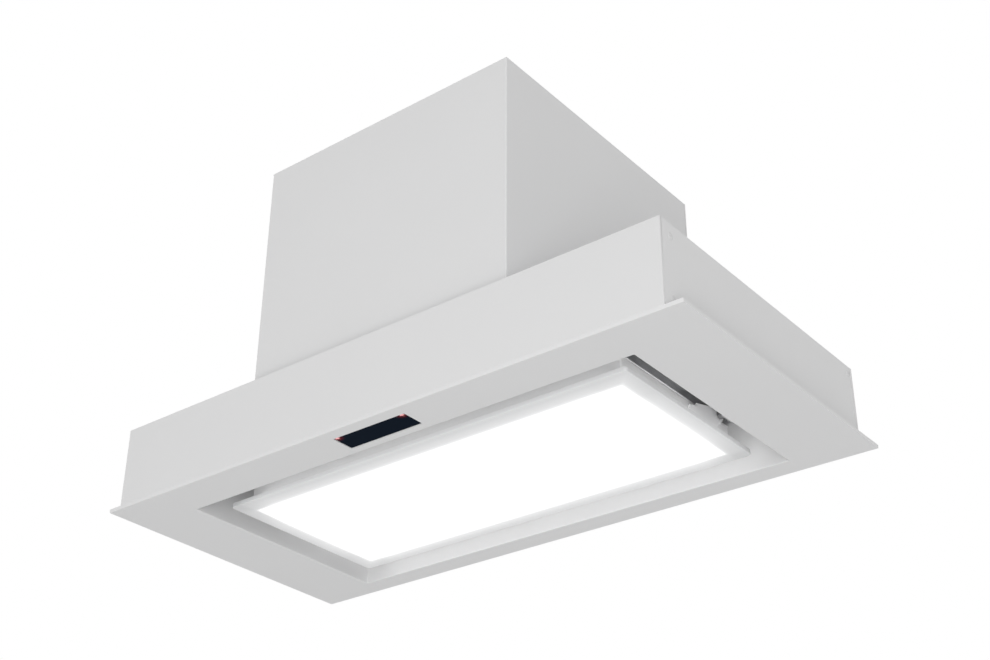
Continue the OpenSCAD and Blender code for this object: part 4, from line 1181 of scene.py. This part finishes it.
class HoodBlower(bpy.types.Operator):
    """Makes the blower: scroll, cradle, impeller, motor and its mounts"""
    bl_idname = "hood.blower"
    bl_label = "Blower"

    def execute(self, context):
        for node, name, fold, rim in (
                ("scroll_band", "scroll_wrap", 0.5, 0.25),
                ("left_scroll_side", "left_scroll_cheek", 0.5, 0.25),
                ("right_scroll_side", "right_scroll_cheek", 0.5, 0.25),
                ("blower_cradle", "cradle_feet", 1.0, 0.25),
                ("motor_bracket", "motor_spider", 0.4, 0.3),
                ("motor_grommets", "rubber_mounts", 0.8, 0.8),
                ("blower_shaft", "drive_shaft", 0.4, 0.4),
                ("shaft_collar", "set_collar", 0.5, 0.4)):
            dress(node, name, fold, rim)
        self.wheel()
        self.motor()
        self.capacitor()
        return {"FINISHED"}

    @staticmethod
    def wheel():
        """The impeller: curved blades between two rims, a disc in the middle and a hub."""
        low, high = box_mm("impeller")
        r, half, depth, count, rim_t = (high.z - low.z) / 2, high.x, 12.0, 24, 1.5
        inner = r - depth
        rim = [(inner, 0.3), (inner + 0.3, 0), (r - 0.3, 0), (r, 0.3), (r, 1.2), (r - 0.3, rim_t),
               (inner + 0.3, rim_t), (inner, 1.2)]
        disc = [(4.02, -14.0), (13.4, -14.0), (14.0, -13.4), (14.0, -2.0), (15.4, -1.0), (r - 0.3, -1.0),
                (r, -0.7), (r, 0.7), (r - 0.3, 1.0), (15.0, 1.0), (14.0, 2.0), (14.0, 3.5), (13.4, 4.0),
                (4.02, 4.0)]
        profiles = ([(a, b - half) for a, b in rim], [(a, b + half - rim_t) for a, b in rim], disc)
        plates = lofted("plates", [hoops(profile, BLOWER, "X") for profile in profiles], closed=True)
        coat(plates, "dark_plastic")
        outline = []
        for i in range(7):
            t = i / 6
            swing = math.radians(25) * (1 - t) * 1.4
            outline.append((1.1 + (depth - 2.0) * t - depth, -3.2 * math.sin(math.pi * t / 1.6) - swing))
        thick = 0.6
        loop = [(z, y + thick) for z, y in outline] + [(z, y - thick) for z, y in outline[::-1]]
        ends = [[Vector((x, y, z)) * MM for z, y in loop] for x in (1 - half, half - 1)]
        blade = lofted("blade", [ends], sharp=50)
        angles = [math.tau * (i + 0.5) / count for i in range(count)]
        facings = [(0.0, math.sin(a), math.cos(a)) for a in angles]
        points = [(BLOWER[0], BLOWER[1] + f[1] * r, BLOWER[2] + f[2] * r) for f in facings]
        blades = placed("blades", blade, points, facings, "dark_plastic")
        deliver(joined("impeller_wheel", [plates, blades]), "impeller")

    @staticmethod
    def motor():
        """A stepped can with a boss at its mounting end."""
        low, high = box_mm("motor")
        r, length = (high.z - low.z) / 2, high.x - low.x
        shell = [(0.01, 0), (23.0, 0), (24.0, 1.0), (24.0, 5.2), (25.0, 6.0), (r - 2.2, 6.0), (r - 0.6, 6.7),
                 (r, 8.2), (r, 24.0), (r - 1.2, 24.6), (r - 1.2, 26.6), (r, 27.2), (r, length - 2.0),
                 (r - 0.6, length - 0.6), (r - 2.0, length), (0.01, length)]
        deliver(lofted("motor_can", [hoops(shell, (low.x, BLOWER[1], BLOWER[2]), "X")]), "motor")

    @staticmethod
    def capacitor():
        """A crimped can with two terminals."""
        low, high = box_mm("capacitor")
        r, length, tail = (high.z - low.z) / 2, high.x - low.x, 6.0
        y, z = (low.y + high.y) / 2, (low.z + high.z) / 2
        can = [(0.01, tail), (r - 2.0, tail), (r - 1.2, tail + 0.8), (r - 0.4, tail + 0.8), (r, tail + 1.4),
               (r, length - 1.5), (r - 0.5, length - 0.4), (r - 1.5, length), (0.01, length)]
        body = coat(lofted("can", [hoops(can, (low.x, y, z), "X", 64)]), "opal_plastic")
        pole = [(0.01, 0), (1.1, 0), (1.5, 0.5), (1.5, tail + 0.2), (0.01, tail + 0.2)]
        poles = lofted("poles", [hoops(pole, (low.x, y + way * 5.0, z), "X", 24) for way in (-1, 1)])
        coat(poles, "bare_copper")
        deliver(joined("motor_capacitor", [body, poles]), "capacitor")


class HoodOutlet(bpy.types.Operator):
    """Makes the outlet spigot with its rod and non-return flaps, and the lead gland"""
    bl_idname = "hood.outlet"
    bl_label = "Outlet"

    def execute(self, context):
        low, high = box_mm("outlet_spigot")
        r, foot, base, top = DUCT_R, high.x, low.z, high.z
        wall = r - 1.5
        ledge = wall - 3.5
        profile = [
            (wall, base), (foot - 0.3, base), (foot, base + 0.3), (foot, base + 1.5),
            (foot - 0.5, base + 2.0), (r + 2.0, base + 2.0), (r + 0.9, base + 2.3), (r + 0.25, base + 3.0),
            (r, base + 4.2), (r, top - 13.0), (r + 0.7, top - 12.4), (r + 0.9, top - 11.6),
            (r + 0.7, top - 10.8), (r, top - 10.2), (r, top - 3.0), (r - 0.25, top - 1.0),
            (r - 0.5, top - 0.25), (r - 0.75, top), (wall + 0.3, top - 0.1), (wall, top - 0.5),
            (wall, base + 11.5), (ledge + 0.3, base + 11.5), (ledge, base + 11.2), (ledge, base + 10.3),
            (ledge + 0.3, base + 10.0), (wall, base + 7.75)]
        spigot = lofted("outlet_ring", [hoops(profile, (0, DUCT_Y, 0), sides=144)], closed=True, sharp=40)
        deliver(spigot, "outlet_spigot")
        for node, name in (("flap_rod", "flap_axle"), ("left_flap", "left_flap_leaf"),
                           ("right_flap", "right_flap_leaf"), ("cable_gland", "lead_gland"),
                           ("gland_nut", "lead_gland_nut")):
            dress(node, name, 0.3, 0.3)
        return {"FINISHED"}


class HoodControls(bpy.types.Operator):
    """Makes the touch control: black glass, indicator lenses, housing and board"""
    bl_idname = "hood.controls"
    bl_label = "Touch control"

    def execute(self, context):
        low, high = box_mm("control_glass")
        edge = ((0.45, low.z), (0.2, low.z + 0.08), (0.06, low.z + 0.22), (0.0, low.z + 0.45),
                (0.0, high.z - 0.2), (0.2, high.z))
        rings = [inset_ring(low, high, i, 1.0 - 0.6 * i, z, 6) for i, z in edge]
        glass = lofted("touch_glass", [rings], sharp=50)
        at_x, at_y = (value / MM for value in lens_places())
        hole_r, lens_r, thick = 1.9, 1.87, high.z - low.z
        for way in (-1, 1):
            hole = [(hole_r, low.z - 1.0), (hole_r, high.z + 1.0)]
            carve(glass, lofted("hole", [hoops(hole, (way * at_x, at_y, 0), sides=40)]))
        deliver(settle_flat(glass), "control_glass")
        dome = [(0.01, 0.0), (0.7, 0.03), (1.3, 0.12), (1.65, 0.25), (lens_r, 0.45), (lens_r, thick - 0.1),
                (0.01, thick)]
        lenses = [hoops(dome, (way * at_x, at_y, low.z), sides=40) for way in (-1, 1)]
        deliver(lofted("lenses", lenses), "indicator_lenses")
        dress("control_housing", "control_cup", 0.8, 0.3)
        board = coat(dressed("board", "control_board", 0.2, 0.2), "circuit_board")
        low, high = box_mm("control_board")
        margin = 5
        points = [(x, y, high.z) for x in (-28, -16, -4, 8, 20, 30)
                  for y in (low.y + margin, high.y - margin)]
        chips = placed("chips", chip(2.4, 2.0, 0.9, 1.1), points, upright(points), "dark_plastic")
        deliver(joined("touch_board", [board, chips]), "control_board")
        return {"FINISHED"}


class HoodElectronics(bpy.types.Operator):
    """Makes the electronics box, its board, the light driver and the leads"""
    bl_idname = "hood.electronics"
    bl_label = "Electronics"

    def execute(self, context):
        dress("electronics_box", "electronics_cover", 1.0, 0.4)
        dress("electronics_lid", "electronics_cap", 0.6, 0.5)
        dress("light_driver", "driver_case", 0.8, 0.3)

        board = coat(dressed("board", "power_board", 0.3, 0.2), "circuit_board")
        low, high = box_mm("power_board")
        margin, under = 6, low.z + 9.0
        can = [(0.01, 0), (3.4, 0), (4.0, -0.5), (4.0, -6.2), (3.6, -6.8), (0.01, -6.8)]
        points = [(low.x + margin, low.y + 46 + 11 * i, under) for i in range(5)]
        template = lofted("can", [hoops(can, sides=24)])
        cans = placed("cans", template, points, upright(points), "lead_cover")
        points = [(high.x - margin, low.y + 44 + 10 * i, under) for i in range(6)]
        chips = placed("chips", chip(3.0, 2.4, -1.6, -1.9), points, upright(points), "dark_plastic")
        deliver(joined("power_board_parts", [board, cans, chips]), "power_board")

        control = [(-42.5, -124.6, 11.3), (-67.5, -124.6, 11.3), (-102.5, -124.6, 35.3),
                   (-127.5, -124.6, 69.0), (-170.0, -118.6, 69.0), (-170.0, -80.0, 69.0)]
        capacitor = [(-100.2, -25.0, 102.6), (-118.2, -25.0, 102.6), (-100.0, -109.5, 102.6),
                     (-100.0, -113.5, 69.0), (-144.0, -113.5, 69.0), (-144.0, -80.0, 69.0)]
        lead_r = 2.2
        first = wires("control_lead", [control], lead_r, "lead_cover", bend=10.0, sides=16)
        second = wires("capacitor_lead", [capacitor], lead_r, "lead_cover", bend=4.5, sides=16)
        deliver(joined("inner_lead_pair", [first, second]), "inner_leads")
        return {"FINISHED"}


class HoodPanel(bpy.types.Panel):
    """Lists the hood's pieces and settings"""
    bl_idname = "VIEW3D_PT_hood"
    bl_label = "Kitchen hood"
    bl_space_type = "VIEW_3D"
    bl_region_type = "UI"
    bl_category = "Kitchen hood"

    def draw(self, context):
        column = self.layout.column(align=True)
        for step in STEPS:
            column.operator(step.bl_idname)
        for group in ("hood_stage", "hood_look", "hood_size"):
            settings = getattr(context.scene, group)
            box = self.layout.box()
            for name in settings.bl_rna.properties.keys():
                if name not in ("rna_type", "name"):
                    box.prop(settings, name)


STEPS = (HoodStage, HoodBottomFrame, HoodLowerCasing, HoodUpperCasing, HoodFixings, HoodLightPanel,
         HoodHinges, HoodCatches, HoodFilters, HoodBlower, HoodOutlet, HoodControls, HoodElectronics)
SETTINGS = (("hood_stage", HoodStageSettings), ("hood_look", HoodLookSettings),
            ("hood_size", HoodSizeSettings))


def register():
    for _, group in SETTINGS:
        bpy.utils.register_class(group)
    for step in STEPS + (HoodPanel,):
        bpy.utils.register_class(step)
    for name, group in SETTINGS:
        setattr(bpy.types.Scene, name, PointerProperty(type=group))


def unregister():
    for name, group in SETTINGS:
        delattr(bpy.types.Scene, name)
        bpy.utils.unregister_class(group)
    for step in STEPS + (HoodPanel,):
        bpy.utils.unregister_class(step)


def main():
    register()
    for step in STEPS:
        family, name = step.bl_idname.split(".")
        getattr(getattr(bpy.ops, family), name)()


if __name__ == "__main__":
    main()
